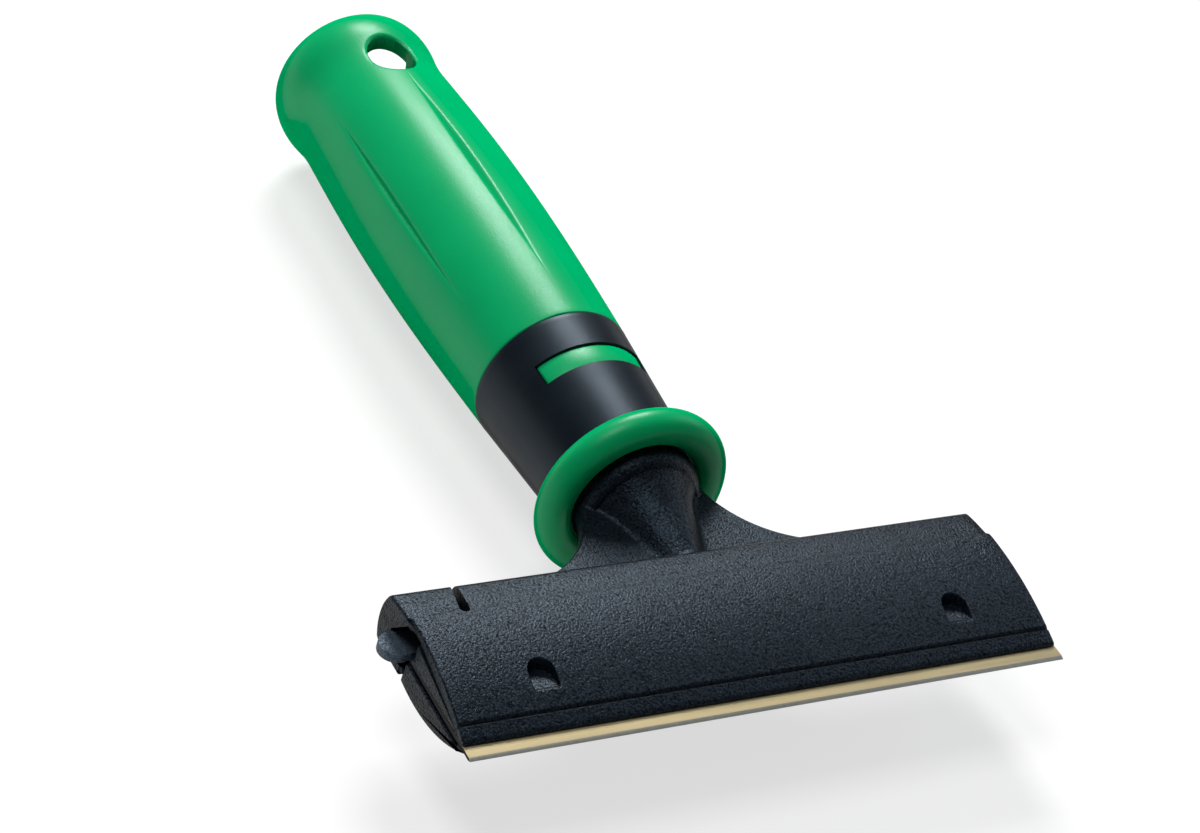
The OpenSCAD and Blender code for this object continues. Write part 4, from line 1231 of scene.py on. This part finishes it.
class SCRAPER_OT_stage(bpy.types.Operator):
    """Pale floor, soft boxes, bright room and the camera."""
    bl_idname = "scraper.stage"
    bl_label = "Stage"

    def execute(self, context):
        scene = context.scene
        scene.view_settings.view_transform = "Standard"
        height = CAD_BOX[0][2] - GAP * MM
        mesh = bpy.data.meshes.new("floor")
        mesh.from_pydata([(a * FLOOR_REACH, b * FLOOR_REACH, height)
                          for a, b in ((-1, -1), (1, -1), (1, 1), (-1, 1))], [], [(0, 1, 2, 3)])
        floor = bpy.data.objects.new("floor", mesh)
        scene.collection.objects.link(floor)
        mesh.materials.append(finish("paper"))

        room = bpy.data.worlds.new("Room")
        room.use_nodes = True
        room.node_tree.nodes.clear()
        node = partial(add_node, room.node_tree)
        light = node("ShaderNodeBackground", None, {"Color": linear("#eef2f7"), "Strength": 0.13})
        node("ShaderNodeOutputWorld", None, {"Surface": light.outputs["Background"]})
        scene.world = room

        for name, settings in LAMPS.items():
            lamp(name, *settings)

        data = bpy.data.cameras.new("Camera")
        data.sensor_fit = "HORIZONTAL"
        data.sensor_width = 36.0
        data.lens = FOCAL_PX / IMAGE_W * data.sensor_width
        data.clip_start, data.clip_end = 0.01, 50.0
        camera = bpy.data.objects.new("Camera", data)
        scene.collection.objects.link(camera)
        forward = Vector(LOOK_FORWARD).normalized()
        right = Vector(LOOK_RIGHT)
        right = (right - forward * right.dot(forward)).normalized()
        up = right.cross(forward)
        turn = Matrix((right, up, -forward)).transposed()
        camera.matrix_world = Matrix.Translation(CAMERA_AT) @ turn.to_4x4()
        scene.camera = camera
        return {"FINISHED"}


class SCRAPER_PT_panel(bpy.types.Panel):
    """Lists the scraper's pieces, sizes and colours."""
    bl_idname = "SCRAPER_PT_panel"
    bl_label = "Glass scraper"
    bl_space_type = "VIEW_3D"
    bl_region_type = "UI"
    bl_category = "Scraper"

    def draw(self, context):
        for operator in OPERATORS:
            self.layout.operator(operator.bl_idname)
        for group in (context.scene.scraper_colours, context.scene.scraper_forms, context.scene.scraper_lengths):
            for key in type(group).__annotations__:
                self.layout.prop(group, key)


OPERATORS = (SCRAPER_OT_grip, SCRAPER_OT_collar, SCRAPER_OT_trim, SCRAPER_OT_screw, SCRAPER_OT_upper_shell,
             SCRAPER_OT_lower_shell, SCRAPER_OT_tray, SCRAPER_OT_blade, SCRAPER_OT_stage)
GROUPS = (ScraperLengths, ScraperForms, ScraperColours)


def register():
    for item in GROUPS + OPERATORS + (SCRAPER_PT_panel,):
        bpy.utils.register_class(item)
    bpy.types.Scene.scraper_lengths = PointerProperty(type=ScraperLengths)
    bpy.types.Scene.scraper_forms = PointerProperty(type=ScraperForms)
    bpy.types.Scene.scraper_colours = PointerProperty(type=ScraperColours)


def unregister():
    del bpy.types.Scene.scraper_lengths
    del bpy.types.Scene.scraper_forms
    del bpy.types.Scene.scraper_colours
    for item in reversed(GROUPS + OPERATORS + (SCRAPER_PT_panel,)):
        bpy.utils.unregister_class(item)


def main():
    """Builds every piece and the stage."""
    register()
    for operator in OPERATORS:
        group, name = operator.bl_idname.split(".")
        getattr(getattr(bpy.ops, group), name)()


if __name__ == "__main__":
    main()
